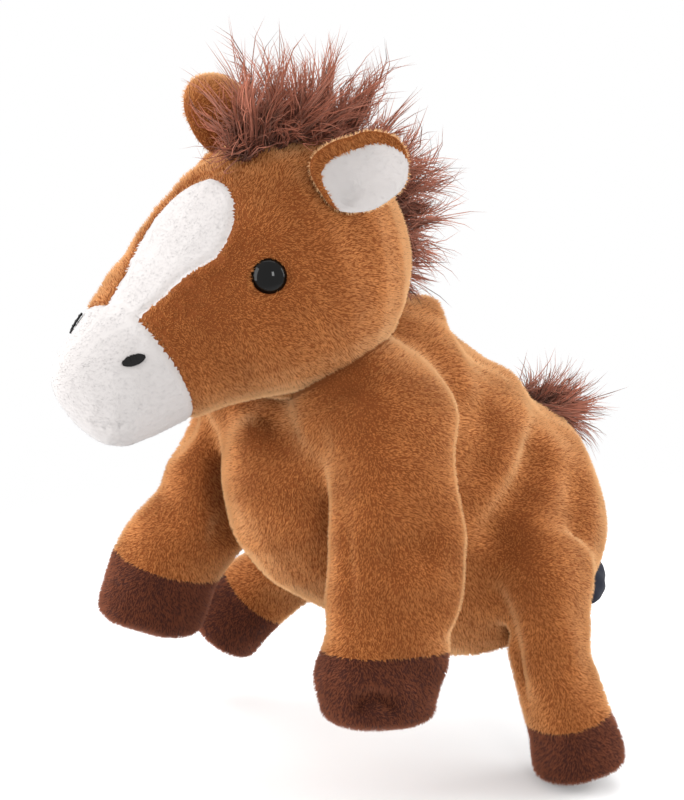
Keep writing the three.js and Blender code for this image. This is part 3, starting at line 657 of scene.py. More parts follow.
def in_head(p):
    return (np.asarray(p) - HEAD_AT) @ HEAD_TURNED


def from_head(q):
    return np.asarray(q) @ HEAD_TURNED.T + HEAD_AT


def muzzle(p):
    """Distance ahead of the muzzle's seam."""
    q = in_head(p)
    return (q - MUZZLE_AT) @ MUZZLE_OUT + MUZZLE_FAR * np.minimum(q[:, 0], 0)


def blaze(p):
    """Distance inside the blaze's outline, seen from above the face."""
    x, y, z = in_head(p).T
    x = x - np.interp(y, [BLAZE_LEAN, BLAZE_TOP], [0, BLAZE_ASIDE])
    half = np.interp(y, [BLAZE_LOW, BLAZE_SHOULDER], [BLAZE_NARROW, BLAZE_WIDE])
    high = (y - BLAZE_SHOULDER) / (BLAZE_TOP - BLAZE_SHOULDER)
    arch = (1 - np.hypot(x / BLAZE_WIDE, high)) * (BLAZE_TOP - BLAZE_SHOULDER)
    return np.where(z < BLAZE_ABOVE, -1.0, np.where(y > BLAZE_SHOULDER, arch, half - np.abs(x)))


def blaze_behind(p):
    """The blaze's outline behind the muzzle's seam."""
    return np.where(muzzle(p) > 0, 1.0, blaze(p))


def dip(far):
    """Depth of a seam at a distance from it, from 0 to 1."""
    return np.exp(-(far / SEAM_WIDE) ** 2)


def eye_seat(which):
    """Where a CAD eye stands on the plush, and its way out."""
    stalk = points_of(NODES[f"eye_{which}"].data)
    far = apart(stalk, HEAD_AT)
    out = unit(stalk[far.argmax()] - stalk[far.argmin()])
    return stalk[far.argmax()] - out * EYE_PROUD, out


head_nodes = ["face_panel_left", "face_panel_right", "muzzle_panel", "blaze_panel", "head_stuffing"]
eye_plugs = [turned(EYE_PLUG, *eye_seat(which)) for which in SIDES]
face = Skin(fused("head_skin", head_nodes, [cap(*HEAD_CAP)] + eye_plugs, *HEAD_MADE))
for pull in HEAD_PULLS:
    face.pull(*pull)
face.apply()
face = Skin(parted(parted(face.mesh, muzzle), blaze_behind))
ahead, over = muzzle(face.co), blaze(face.co)
groove = dip(ahead) * (1 - SEAM_SHALLOW * smooth(over, *SEAM_FADES)) + np.where(ahead < 0, dip(over), 0)
x, y, z = in_head(face.co).T
middle_seam = dip(x) * ((z > 0) & (y > BLAZE_TOP)) + dip(x) * (z < THROAT) * (ahead < 0)
groove = np.minimum(groove + middle_seam, 1.0)
face.move -= face.out * (groove * SEAM_DEEP + SKIN_INSET)[:, None]
face.fold(*MOUTH)
face.apply()
cut_head = Cut(face.mesh)
hole = in_finger_hole(cut_head.centres)
is_muzzle = (muzzle(cut_head.centres) > 0) & ~hole
is_blaze = (blaze(cut_head.centres) > 0) & ~is_muzzle & ~hole
near_side = in_head(cut_head.centres)[:, 0] > 0
brown = ~is_muzzle & ~is_blaze & ~hole
pieces["muzzle_panel"] = cut_head.piece("muzzle_plush", is_muzzle)
pieces["blaze_panel"] = cut_head.piece("blaze_plush", is_blaze)
pieces["face_panel_left"] = cut_head.piece("face_plush_left", brown & near_side)
pieces["face_panel_right"] = cut_head.piece("face_plush_right", brown & ~near_side)

# Ears: stuffed leaves in their photographed outlines, cupped towards a white lining. face is where the cup looks,
# white the lining's share of the outline and its shift in pixels.
EARS = {
    "left": {
        "face": (0.74, -0.62, 0.08),
        "outline": (
            (309, 160), (325, 147), (350, 138), (385, 133), (402, 142), (408, 163),
            (406, 184), (388, 200), (357, 212), (332, 208), (321, 191), (311, 175),
        ),
        "white": (0.9, (7, 9)),
        "ahead": 2.5 * MM,
    },
    "right": {
        "face": (-0.86, -0.13, -0.5),
        "outline": (
            (185, 93), (190, 82), (203, 76), (219, 78), (234, 90), (244, 112),
            (247, 135), (238, 150), (218, 156), (202, 145), (190, 125),
        ),
        "white": (0.83, (3, 6)),
        "ahead": 0,
    },
}
EAR_CUP, EAR_THICK, EAR_ROLL = mm(5.5, 4.2, 1.4)
EAR_RINGS, EAR_AROUND, EAR_HEART, EAR_EASE = 22, 72, 0.03, 5


def ear(which):
    """A cut of a stuffed leaf, and which of its faces are lining."""
    form = EARS[which]
    front = unit(form["face"])
    e1 = unit(RIGHT - front * (front @ RIGHT))
    e2 = np.cross(front, e1)
    cad = [points_of(NODES[n].data) for n in (f"ear_{which}", f"ear_lining_{which}")]
    middle = np.concatenate(cad).mean(0) + front * form["ahead"]

    def on_plane(pixel):
        way = sight(*pixel)
        q = EYE + way * ((middle - EYE) @ front) / (way @ front) - middle
        return np.array([q @ e1, q @ e2])

    corners = np.array([on_plane(p) for p in form["outline"]])
    centre = corners.mean(0)
    span = corners - centre
    angle, radius = np.arctan2(span[:, 1], span[:, 0]), np.hypot(*span.T)
    turn, n = ring(EAR_AROUND), EAR_AROUND
    rim = evened(np.interp(turn, angle, radius, period=2 * math.pi), EAR_EASE)
    share = np.sin(np.linspace(EAR_HEART, 1, EAR_RINGS) * math.pi / 2)
    rows = [(r, EAR_ROLL * math.sqrt(1 - r ** 4) - EAR_CUP * (1 - r * r)) for r in share]
    rows += [(r, -EAR_CUP * (1 - r * r) - EAR_THICK * math.sqrt(1 - r ** 3)) for r in share[-2::-1]]
    flat = np.stack([np.cos(turn) * rim, np.sin(turn) * rim], 1)
    points = []
    for r, rise in rows:
        spot = centre + flat * r
        points += list(middle + spot[:, :1] * e1 + spot[:, 1:] * e2 + front * rise)
    last = (len(rows) - 1) * n
    points += [np.mean(points[:n], axis=0), np.mean(points[last:last + n], axis=0)]
    faces = quads(len(rows), n, flip=True)
    faces += [(k, (k + 1) % n, len(points) - 2) for k in range(n)]
    faces += [(last + (k + 1) % n, last + k, len(points) - 1) for k in range(n)]
    leaf = Skin(mesh_from(f"ear_{which}_skin", points, faces))
    if which == "left":
        leaf.fold(*EAR_CREASE)
        leaf.apply()
    made = Cut(leaf.mesh)
    size, shift = form["white"]
    heart = np.mean(form["outline"], axis=0)
    lining = on_plane(heart + shift) - on_plane(heart)
    spot = np.stack([(made.centres - middle) @ e1, (made.centres - middle) @ e2], 1) - centre - lining
    edge = np.interp(np.arctan2(spot[:, 1], spot[:, 0]), turn, rim, period=2 * math.pi)
    is_front = (made.source < (EAR_RINGS - 1) * n) | ((made.source >= last) & (made.source < last + n))
    return made, is_front & (np.hypot(*spot.T) < size * edge)


for which in SIDES:
    ear_cut, white = ear(which)
    pieces[f"ear_{which}"] = ear_cut.piece(f"ear_plush_{which}", ~white)
    pieces[f"ear_lining_{which}"] = ear_cut.piece(f"ear_cup_{which}", white)

# Eyes: glossy domes set into the plush, with a stem through it and a washer behind it.
turn = [i / EYE_STEPS * math.pi / 2 for i in range(EYE_STEPS + 1)]
dome = [(EYE_RADIUS * max(math.sin(a), 1e-4), EYE_PROUD * math.cos(a) - EYE_SET) for a in turn]
back, end = -EYE_SET - EYE_BACK, -WASHER_DEEP - STEM_PAST
stem = [(EYE_RADIUS * EYE_FOOT, back), (STEM, back), (STEM, end), (POLE, end)]
low, high = -WASHER_DEEP, WASHER_THICK - WASHER_DEEP
washer = [(WASHER, low), (WASHER, high), (STEM, high), (STEM, low), (WASHER, low)]
eye_at = {}
for which in SIDES:
    at, out = eye_seat(which)
    if which == "left":
        at = face.hit(EYE_PIXEL)
    else:
        around = np.array(Matrix.Rotation(math.radians(-EYE_ROUND), 3, "Y"))
        at, out = from_head(around @ in_head(at)), HEAD_TURNED @ around @ HEAD_TURNED.T @ out
        at = np.array(face.tree.ray_cast(Vector(at + out * EYE_AHEAD), Vector(-out))[0])
    eye_at[which] = at
    pieces[f"eye_{which}"] = lathe(f"eye_dome_{which}", (dome + stem)[::-1], at, out)
    pieces[f"eye_washer_{which}"] = lathe(f"washer_ring_{which}", washer, at, out)


# --- node trees and finishes ---
class Field:
    """A socket that carries a value, with arithmetic."""

    def __init__(self, graph, socket):
        self.graph, self.socket = graph, socket

    def _math(operation, first=0):
        def made(self, other):
            sockets = {first: self, 1 - first: other}
            return self.graph.node("ShaderNodeMath", {"operation": operation}, sockets)[0]
        return made

    __add__ = __radd__ = _math("ADD")
    __mul__ = __rmul__ = _math("MULTIPLY")
    __sub__, __rsub__ = _math("SUBTRACT"), _math("SUBTRACT", 1)
    most = _math("MAXIMUM")


class Graph:
    """A node tree whose nodes come from one method."""

    def __init__(self, tree):
        self.tree = tree

    def node(self, kind, settings={}, sockets={}):
        """A node with its settings, then its sockets, as its outputs by place and by name."""
        made = self.tree.nodes.new(kind)
        for key, value in settings.items():
            setattr(made, key, value)
        for key, value in sockets.items():
            self.put(made.inputs[key], value)
        return {key: Field(self, s) for i, s in enumerate(made.outputs) for key in (i, s.name)}

    def put(self, socket, value):
        if isinstance(value, Field):
            self.tree.links.new(value.socket, socket)
        else:
            socket.default_value = value


class Finish(Graph):
    """A material with one principled surface."""

    def __init__(self, name):
        self.material = bpy.data.materials.new(name)
        self.material.use_nodes = True
        super().__init__(self.material.node_tree)
        self.surface = self.tree.nodes["Principled BSDF"]

    def set(self, **values):
        for key, value in values.items():
            self.put(self.surface.inputs[key.replace("_", " ")], value)
        return self.material

    def place(self):
        return self.node("ShaderNodeTexCoord")["Object"]

    def noise(self, scale, detail=2.0):
        return self.node("ShaderNodeTexNoise", {}, {"Vector": self.place(), "Scale": scale, "Detail": detail})[0]

    def wave(self, direction, scale):
        along = {"Vector": self.node("ShaderNodeUVMap")[0], "Scale": scale}
        return self.node("ShaderNodeTexWave", {"bands_direction": direction}, along)["Fac"]

    def attribute(self, name):
        return self.node("ShaderNodeAttribute", {"attribute_name": name})["Fac"]

    def mix(self, share, a, b):
        return self.node("ShaderNodeMix", {"data_type": "RGBA", "clamp_factor": True}, {0: share, 6: a, 7: b})[2]


def srgb(*rgb):
    """Linear colour of an sRGB one given in 0 to 255."""
    c = np.array(rgb, float) / 255
    return (*np.where(c < 0.04045, c / 12.92, ((c + 0.055) / 1.055) ** 2.4), 1.0)


# Shades of plush: scale and detail of its patches and grain, their weights, the weight of a strand's tone, and what
# brings a share of dark and light back to the middle. Weave: threads and slubs, and their weights.
PATCHES, GRAIN, PATCHED, GRAINED, TONED = (60, 3.0), (420, 2.0), 0.45, 0.2, 0.24
# STRAND_UP and RISE_DOWN offset the painted shade at the strands' roots.
GROUND_DOWN, STRAND_UP, RISE_DOWN = 0.15, 0.12, 0.4
THREADS, SLUBS, THREADED, SLUBBED, WEAVE_DOWN = 40, 300, 0.8, 0.3, 0.1


def plush(name, deep, bright, sheen, tint, rise=0.0):
    """Cut pile with a velvet sheen. By rise, each strand is darker at its root and lighter towards its tip: painted
    shade between the fibres. The ground that the pile stands on has no rise."""
    f = Finish(name)
    share = f.noise(*PATCHES) * PATCHED + f.noise(*GRAIN) * GRAINED - GROUND_DOWN
    if rise:
        share = share + f.attribute("rise") * rise + f.attribute("tone") * TONED + (STRAND_UP - rise * RISE_DOWN)
    return f.set(
        Base_Color=f.mix(share, srgb(*deep), srgb(*bright)), Roughness=0.85, Specular_IOR_Level=0.15,
        Sheen_Weight=sheen, Sheen_Roughness=0.5, Sheen_Tint=srgb(*tint),
    )


def woven(name, dark, light):
    """Plain weave from two crossing waves along the cloth's own map."""
    f = Finish(name)
    crossed = f.wave("X", THREADS) * f.wave("Y", THREADS)
    share = crossed * THREADED + f.noise(SLUBS) * SLUBBED - WEAVE_DOWN
    colour = f.mix(share, srgb(*dark), srgb(*light))
    return f.set(Base_Color=colour, Roughness=0.8, Sheen_Weight=0.05, Specular_IOR_Level=0.2)


def plain(name, colour, roughness, **more):
    return Finish(name).set(Base_Color=srgb(*colour), Roughness=roughness, **more)


finish = {
    # Finishes given a rise paint shade at the strands' roots. The grounds, seen between the tufts, are as dark as
    # those roots: painted shade as well.
    "brown": plush("brown_pile", (110, 55, 21), (222, 144, 80), 1.0, (255, 210, 158), 0.6),
    "brown_ground": plush("brown_ground", (112, 57, 22), (140, 78, 35), 0.4, (240, 180, 120)),
    "white": plush("white_pile", (184, 179, 178), (200, 197, 197), 0.3, (255, 255, 255), 0.6),
    "white_ground": plush("white_ground", (184, 179, 177), (198, 194, 193), 0.2, (255, 255, 255)),
    "hoof": plush("hoof_pile", (60, 26, 15), (136, 76, 50), 0.4, (190, 140, 120), 0.6),
    "hoof_ground": plush("hoof_ground", (50, 22, 16), (80, 40, 28), 0.2, (170, 120, 100)),
    "hair": plush("hair_strand", (62, 24, 16), (172, 104, 82), 0.35, (210, 160, 140), 1.1),
    "navy": woven("navy_cloth", (9, 11, 24), (24, 28, 48)),
    "eye": plain("eye_gloss", (6, 5, 5), 0.1, Specular_IOR_Level=0.0, Coat_Weight=0.42, Coat_Roughness=0.03),
    "thread": plain("black_thread", (16, 14, 15), 0.6, Specular_IOR_Level=0.2),
    "washer": plain("washer_white", (225, 225, 222), 0.4),
}


# --- strands and pile ---
rng = np.random.default_rng(SEED)


def tuft_shape(name, rings, sides=3):
    """A tapered strand of unit length: rings of (height, radius, sideways bend), the last one its tip."""
    points = []
    for height, radius, bend in rings[:-1]:
        for a in (2 * math.pi * k / sides for k in range(sides)):
            points.append((math.cos(a) * radius + bend, math.sin(a) * radius, height))
    height, _, bend = rings[-1]
    points.append((bend, 0, height))
    last = (len(rings) - 2) * sides
    faces = quads(len(rings) - 1, sides)
    faces += [(last + k, last + (k + 1) % sides, len(points) - 1) for k in range(sides)]
    mesh = mesh_from(name, points, faces)
    # Height along the strand, by which the pile's finish paints shade at its root.
    rise = np.array([p[2] for p in points], np.float32)
    mesh.attributes.new("rise", "FLOAT", "POINT").data.foreach_set("value", rise)
    return bpy.data.objects.new(name, mesh)


TUFT = tuft_shape("tuft", [(0, 0.5, 0), (1, 0, 0)])
THREAD = tuft_shape("thread", [(0, 0.1, 0), (0.12, 0.5, 0), (0.88, 0.5, 0), (1, 0, 0)], 6)
# Loose strands; their sideways bends count in strand widths.
STRAY = [
    tuft_shape("strand_straight", [(0, 0.5, 0), (0.35, 0.5, 2), (0.7, 0.4, 3), (1, 0, 8)]),
    tuft_shape("strand_bent", [(0, 0.5, 0), (0.3, 0.5, 3), (0.6, 0.42, 10), (0.85, 0.3, 19), (1, 0, 30)]),
    tuft_shape(
        "strand_waved",
        [(0, 0.5, 0), (0.2, 0.5, 5), (0.42, 0.46, 3), (0.64, 0.4, -6), (0.84, 0.3, -2), (1, 0, 9)],
    ),
]
VECTORS = ("aim", "ground")
# How much a strand's own normal counts beside that of the ground under it.
TUFT_ROUND, STRAY_ROUND = 0.25, 0.55
# The map of a strand in its cell: places across, for its corners and its tip, and the margin and height along.
CELL_CORNERS, CELL_TIP, CELL_LOW, CELL_HIGH = (0.15, 0.5, 0.85), 0.5, 0.1, 0.8


def planting():
    """Geometry nodes: a strand on each point, along its aim, sized by its reach and girth, made real."""
    group = bpy.data.node_groups.new("planting", "GeometryNodeTree")
    for name, way, kind in (
        ("Roots", "INPUT", "Geometry"), ("Strand", "INPUT", "Object"),
        ("Finish", "INPUT", "Material"), ("Pile", "OUTPUT", "Geometry"),
    ):
        group.interface.new_socket(name, in_out=way, socket_type=f"NodeSocket{kind}")
    g = Graph(group)

    def named(name, kind="FLOAT"):
        return g.node("GeometryNodeInputNamedAttribute", {"data_type": kind}, {"Name": name})[0]

    entry = g.node("NodeGroupInput")
    strand = g.node("GeometryNodeObjectInfo", {}, {"Object": entry["Strand"]})["Geometry"]
    aim = named("aim", "FLOAT_VECTOR")
    aimed = g.node("FunctionNodeAlignRotationToVector", {"axis": "Z"}, {"Vector": aim})["Rotation"]
    about = g.node("FunctionNodeAxisAngleToRotation", {}, {"Axis": (0, 0, 1), "Angle": named("spin")})["Rotation"]
    spun = {"Rotation": aimed, "Rotate By": about}
    facing = g.node("FunctionNodeRotateRotation", {"rotation_space": "LOCAL"}, spun)["Rotation"]
    girth = named("girth")
    size = g.node("ShaderNodeCombineXYZ", {}, {"X": girth, "Y": girth, "Z": named("reach")})["Vector"]
    places = {"Points": entry["Roots"], "Instance": strand, "Rotation": facing, "Scale": size}
    stood = g.node("GeometryNodeInstanceOnPoints", {}, places)["Instances"]
    real = g.node("GeometryNodeRealizeInstances", {}, {"Geometry": stood})["Geometry"]
    finished = {"Geometry": real, "Material": entry["Finish"]}
    g.node("NodeGroupOutput", {}, {"Pile": g.node("GeometryNodeSetMaterial", {}, finished)["Geometry"]})
    return group


PLANTING = planting()


def planted(name, strand, look, roots, **each):
    """Strands on roots as one plain mesh. each has their aim, reach, girth, tone and, if not random, spin, and the
    normal of the ground that they stand on, which shades them too."""
    if "spin" not in each:
        each["spin"] = rng.uniform(0, FULL_TURN, len(roots))
    each["aim"] = unit(each["aim"])
    mesh = mesh_from(name, roots, [])
    for key, value in each.items():
        kind, field = ("FLOAT_VECTOR", "vector") if key in VECTORS else ("FLOAT", "value")
        data = mesh.attributes.new(key, kind, "POINT").data
        data.foreach_set(field, np.asarray(value, np.float32).ravel())
    obj = link(name, mesh)
    grow = obj.modifiers.new("pile", "NODES")
    grow.node_group = PLANTING
    given = {"Strand": strand, "Finish": finish[look]}
    for item in PLANTING.interface.items_tree:
        if item.name in given:
            grow[item.identifier] = given[item.name]
    real = made_plain(obj)
    real.name = name
    obj.modifiers.remove(grow)
    obj.data = real
    # A cell of its own in the texture for each strand.
    corners = len(strand.data.vertices)
    wide = math.ceil(math.sqrt(len(real.vertices) // corners))
    spots = read(real.loops, "vertex_index", 1, np.int32)[:, 0]
    cell, corner = spots // corners, spots % corners
    across = np.array([CELL_CORNERS[k % len(CELL_CORNERS)] for k in range(corners - 1)] + [CELL_TIP])[corner]
    high = CELL_LOW + CELL_HIGH * points_of(strand.data)[:, 2][corner]
    uv = np.stack([(cell % wide + across) / wide, (cell // wide + high) / wide], 1)
    real.uv_layers.new(name="OFBake").data.foreach_set("uv", uv.astype(np.float32).ravel())
    real.polygons.foreach_set("use_smooth", np.ones(len(real.polygons), bool))
    own = TUFT_ROUND if strand is TUFT else STRAY_ROUND
    bent_normals(real, unit(normals_of(real) * own + read(real.attributes["ground"].data, "vector")))
    for key in each:
        if key != "tone":
            real.attributes.remove(real.attributes[key])
    return obj


def planted_parts(name, look, parts, roots, each):
    """Strands in parts of (strand, chosen roots)."""
    return [
        planted(f"{name}_{k + 1}", strand, look, roots[i], **{key: value[i] for key, value in each.items()})
        for k, (strand, i) in enumerate(parts)
    ]


def pile(piece, fur, nap, skip=None, seam=None):
    """A cut pile over a piece. For points, nap gives the way that it lies, and seam how far the next seam is."""
    length, width, per_mm2, lean, clumping = PILE[fur]
    tri, _ = triangles_of(piece.data)
    co, out = points_of(piece.data), normals_of(piece.data)
    a, b, c = co[tri[:, 0]], co[tri[:, 1]], co[tri[:, 2]]
    area = np.linalg.norm(np.cross(b - a, c - a), axis=1) / 2
    count = int(area.sum() / (MM * MM) * per_mm2 * (1))
    pick = rng.choice(len(tri), count, p=area / area.sum())
    u, v = rng.random(count), rng.random(count)
    u, v = np.where(u + v > 1, 1 - u, u), np.where(u + v > 1, 1 - v, v)
    share = np.stack([1 - u - v, u, v], 1)[:, :, None]
    roots = (co[tri[pick]] * share).sum(1)
    ground = unit((out[tri[pick]] * share).sum(1))
    if skip is not None:
        keep = ~skip(roots)
        roots, ground = roots[keep], ground[keep]
    # Each strand leans towards the heart of its clump.
    heart = rng.choice(len(roots), len(roots) // CLUMP + 1)
    tree = KDTree(len(heart))
    for i, h in enumerate(heart):
        tree.insert(roots[h], i)
    tree.balance()
    clump = np.array([tree.find(p)[1] for p in roots])
    gather = roots[heart[clump]] - roots
    lay = nap(roots)
    lay = unit(lay - ground * (lay * ground).sum(1)[:, None])
    swirl = SWIRL * sum(np.sin(roots @ s) for s in SWIRLS)
    aim = ground * (1 - lean) + lay * lean + np.cross(ground, lay) * swirl[:, None] + gather * (clumping / length)
    aim = unit(aim + rng.normal(0, PILE_STRAY, roots.shape))
    reach = length * rng.uniform(*PILE_REACH, len(roots))
    if seam is not None:
        reach *= PILE_AT_SEAM + (1 - PILE_AT_SEAM) * smooth(seam(roots), 0, SEAM_NEAR)
    girth = width * rng.uniform(*PILE_GIRTH, len(roots))
    tone = PILE_TONE[0] * rng.random(len(heart))[clump] + PILE_TONE[1] * rng.random(len(roots))
    roots = roots - ground * PILE_SINK
    parts = [(TUFT, i) for i in np.array_split(np.argsort(roots[:, 1]), len(roots) // PILE_MOST + 1)]
    each = {"aim": aim, "reach": reach, "girth": girth, "tone": tone, "ground": ground}
    return planted_parts(f"{piece.name}_pile", fur, parts, roots, each)


# --- cuff and lining ---
HEM_SIDE = np.array([1.0, 0, 0])
HEM_FRONT = unit(np.cross(HEM_OUT, HEM_SIDE))
HEM_AROUND, HEM_REPEATS = 160, 6
# Rows of cloth from inside to outside, as (inset, reach below the hem), and the thickness of the cloth.
CUFF_ROWS = [
    mm(3.6, -7), mm(3.2, -3), mm(2.0, 0), mm(0.0, 2.5),
    mm(-1.4, 5), mm(-1.2, 7.2), mm(0.2, 8.2),
]
HEM_ROWS = [
    mm(0.4, -0.6), mm(0.9, 0.5), mm(2.0, 0.6), mm(2.7, -1.5), mm(2.8, -8),
]
CUFF_THICK, HEM_THICK = mm(1.2, 0.4)
GATHERS, PUCKER, PUCKER_FROM, PUCKER_FULL = 34, 0.25 * MM, -6 * MM, 3 * MM
# The cuff is tucked up and in, away from the back.
TUCK_UP, TUCK_IN, TUCK_FROM, TUCK_FULL = 0.95, 3.6 * MM, -0.4, 0.0
# Finger stall: the lining's pocket in the head, as (radius, height above the neck's joint).
STALL = [
    mm(14, -36), mm(13, -24), mm(11.5, -12), mm(10.5, -2),
    mm(8.5, 5), mm(5, 9), (POLE, 10.5 * MM),
]
# The lining is shut where the hind legs start: how near to there its open edges lie.
SHUT_ALONG, SHUT_ROUND = mm(8, 45)
STALL_AROUND = 40


def hem_outline(at):
    """Radius of the body's hem at angles around the hand opening."""
    near = cut.co[np.intersect1d(cut.faces[torso_faces], cut.faces[hem_faces])]
    ahead, across = near @ HEM_FRONT, near @ HEM_SIDE
    angle, far = np.arctan2(ahead, across), np.hypot(ahead, across)
    outer = far > HEM_WIDEST
    order = np.argsort(angle[outer])
    a, r = angle[outer][order], far[outer][order]
    return np.interp(at, np.r_[a - 2 * math.pi, a, a + 2 * math.pi], np.r_[r, r, r])


def band(name, rows, wall):
    """A gathered tube of cloth on the hem's outline."""
    n = HEM_AROUND
    at = ring(n)
    radius = evened(hem_outline(at), HEM_EASE)
    tuck = smooth(np.sin(at), TUCK_FROM, TUCK_FULL)
    points, uv = [], []
    for inset, reach in rows:
        pucker = PUCKER * np.sin(at * GATHERS + 0.6 * np.sin(at * 5)) * smooth(reach, PUCKER_FROM, PUCKER_FULL)
        r = radius - inset + pucker - np.where(reach > 0, TUCK_IN, 0) * tuck
        low = np.where(reach > 0, reach * (1 - TUCK_UP * tuck), reach)
        level = np.outer(np.cos(at) * r, HEM_SIDE) + np.outer(np.sin(at) * r, HEM_FRONT)
        points += list(level + np.outer(low, HEM_OUT))
    for i in range(len(rows) - 1):
        y0, y1 = i / (len(rows) - 1), (i + 1) / (len(rows) - 1)
        for k in range(n):
            x0, x1 = k / n * HEM_REPEATS, (k + 1) / n * HEM_REPEATS
            uv += [(x0, y0), (x0, y1), (x1, y1), (x1, y0)]
    obj = link(name, mesh_from(name, points, quads(len(rows), n, flip=True)))
    obj.data.uv_layers.new(name="weave").data.foreach_set("uv", np.array(uv, np.float32).ravel())
    thick = obj.modifiers.new("wall", "SOLIDIFY")
    thick.thickness, thick.offset = wall, -1
    obj.data = made_plain(obj)
    obj.modifiers.clear()
    return obj


def at_hind_leg(edge):
    p = np.array(edge.verts[0].co)
    return any(
        abs(leg.along(p) - leg.free) < SHUT_ALONG and np.linalg.norm(p - leg.joint) < SHUT_ROUND
        for leg in legs.values() if not leg.front
    )


pieces["wrist_cuff"] = band("cuff_cloth", CUFF_ROWS, CUFF_THICK)
# The plush turned in at the hand opening.
pieces["hem"] = band("hem_turn", HEM_ROWS, HEM_THICK)
# The inside of the bag and of the front legs, a step in from the plush.
inner = Cut(skin)
inner.co = inner.co - inner.out * LINING_GAP
inner.out = -inner.out
inner.faces = inner.faces[:, ::-1]
lining = inner.piece("lining_bag", torso_faces)
bm = bmesh.new()
bm.from_mesh(lining.data)
bmesh.ops.holes_fill(bm, edges=[e for e in bm.edges if e.is_boundary and at_hind_leg(e)], sides=0)
bmesh.ops.triangulate(bm, faces=[f for f in bm.faces if len(f.verts) > 4])
bm.to_mesh(lining.data)
bm.free()
pieces["glove_lining"] = lining
for which in SIDES:
    pieces[f"finger_sleeve_{which}"] = inner.piece(f"sleeve_{which}", leg_of == f"front_{which}")
pieces["finger_stall"] = lathe("stall_cloth", STALL[::-1], HEAD_AT, -NECK_DOWN, STALL_AROUND)

# --- stitches and hair ---
# Nostrils: satin stitch, threads side by side across a pad.
NOSTRIL_THREADS, NOSTRIL_THREAD, NOSTRIL_ENDS, NOSTRIL_STRAY = 17, 0.62 * MM * 1.3, 0.93, 0.05
NOSTRIL_LONG, NOSTRIL_SHORT, NOSTRIL_RISE, NOSTRIL_PROUD = mm(3.5, 1.8, 0.9, 0.2)
NOSTRIL_PIXELS = {"left": ((121, 365), (146, 356)), "right": ((73, 331), (82, 317))}
# Mane: degrees over the crown, wisps and their hairs; the wisps lean back at the front and are shorter behind.
HAIR_GIRTH, WISP_WIDE = mm(0.4, 0.9)
# Spread of the hairs: mean and spread of their reach, its limits, girth, tone by the wisp and the hair, the share that
# is of another kind than its wisp, spin, and how much the wisp's way and chance shade them.
HAIR_REACH, HAIR_LIMITS, HAIR_GIRTHS, HAIR_TONE = (0.86, 0.2), (0.25, 1.12), (0.7, 1.25), (0.6, 0.4)
HAIR_MIXED, HAIR_SPIN, HAIR_GROUND = 0.25, 0.35, (0.6, 0.5)
MANE_FROM, MANE_TO, MANE_WIDE, MANE_SINK = 70, 208, 9 * MM, -0.6 * MM
MANE_FAN, MANE_BACK, MANE_LEAN = 0.7, [0, 0.75, 0.3], 0.45
MANE_TALL, MANE_LOSS, MANE_LOSES, MANE_LENGTHS = 0.98, 0.22, (0.3, 0.8), (0.62, 1.08)
# Wisps, hairs, length, stray and gathering of the mane's outer and under hair.
MANE_OUTER, MANE_UNDER = (125, 18, 32 * MM, 0.3, 1.2 * MM), (170, 14, 14 * MM, 0.35, 3 * MM)
TAIL_WISPS, TAIL_HAIRS, TAIL_LENGTH, TAIL_GATHER = 80, 16, 22 * MM, 1.6 * MM
TAIL_ROOT, TAIL_SINK, TAIL_FAN, TAIL_STRAY, TAIL_HANG = mm(3.0, 3.2, 3.2), 1.2 * MM, 0.4, 0.2, 0.24
TAIL_PIXEL, TAIL_BEND, TAIL_WIDE, TAIL_LENGTHS = (539, 393), 9 * MM, 9 * MM, (0.62, 1.05)


def nostril(which):
    a, b = (face.hit(p) for p in NOSTRIL_PIXELS[which])
    found = face.tree.find_nearest(Vector((a + b) / 2))
    middle, out = np.array(found[0]), np.array(found[1])
    long = unit(b - a - out * ((b - a) @ out))
    short = np.cross(out, long)
    n = NOSTRIL_THREADS
    s = np.linspace(-NOSTRIL_ENDS, NOSTRIL_ENDS, n)
    half, arch = NOSTRIL_SHORT * np.sqrt(1 - s * s), NOSTRIL_RISE * np.sqrt(1 - s * s)
    roots = middle + np.outer(s * NOSTRIL_LONG, long) - np.outer(half, short)
    roots = roots + np.outer(arch * 0.5 + NOSTRIL_PROUD, out)
    return planted(
        f"nostril_thread_{which}", THREAD, "thread", roots,
        aim=np.tile(short, (n, 1)) + rng.normal(0, NOSTRIL_STRAY, (n, 3)), reach=half * 2,
        girth=np.full(n, NOSTRIL_THREAD), tone=rng.random(n), ground=np.tile(out, (n, 1)),
    )


def wisps(name, centre, way, length, hairs, gather):
    """Wisps of strands: the hairs of each start spread about its centre and gather towards its tip."""
    n = len(centre)
    many = n * hairs
    tip = centre + unit(way) * length[:, None]
    root = np.repeat(centre, hairs, 0) + rng.normal(0, WISP_WIDE, (many, 3))
    aim = np.repeat(tip, hairs, 0) + rng.normal(0, gather, (many, 3)) - root
    reach = np.linalg.norm(aim, axis=1) * np.clip(rng.normal(*HAIR_REACH, many), *HAIR_LIMITS)
    tone = np.repeat(rng.random(n), hairs) * HAIR_TONE[0] + rng.random(many) * HAIR_TONE[1]
    girth = HAIR_GIRTH * rng.uniform(*HAIR_GIRTHS, many)
    kind = np.repeat(rng.integers(0, len(STRAY), n), hairs)
    kind = np.where(rng.random(many) < HAIR_MIXED, rng.integers(0, len(STRAY), many), kind)
    spin = np.repeat(rng.uniform(0, FULL_TURN, n), hairs) + rng.normal(0, HAIR_SPIN, many)
    ground = np.repeat(unit(way), hairs, 0) * HAIR_GROUND[0] + rng.normal(0, HAIR_GROUND[1], (many, 3))
    each = {"aim": aim, "reach": reach, "girth": girth, "tone": tone, "ground": unit(ground), "spin": spin}
    parts = [(strand, kind == k) for k, strand in enumerate(STRAY)]
    return planted_parts(name, "hair", parts, root, each)


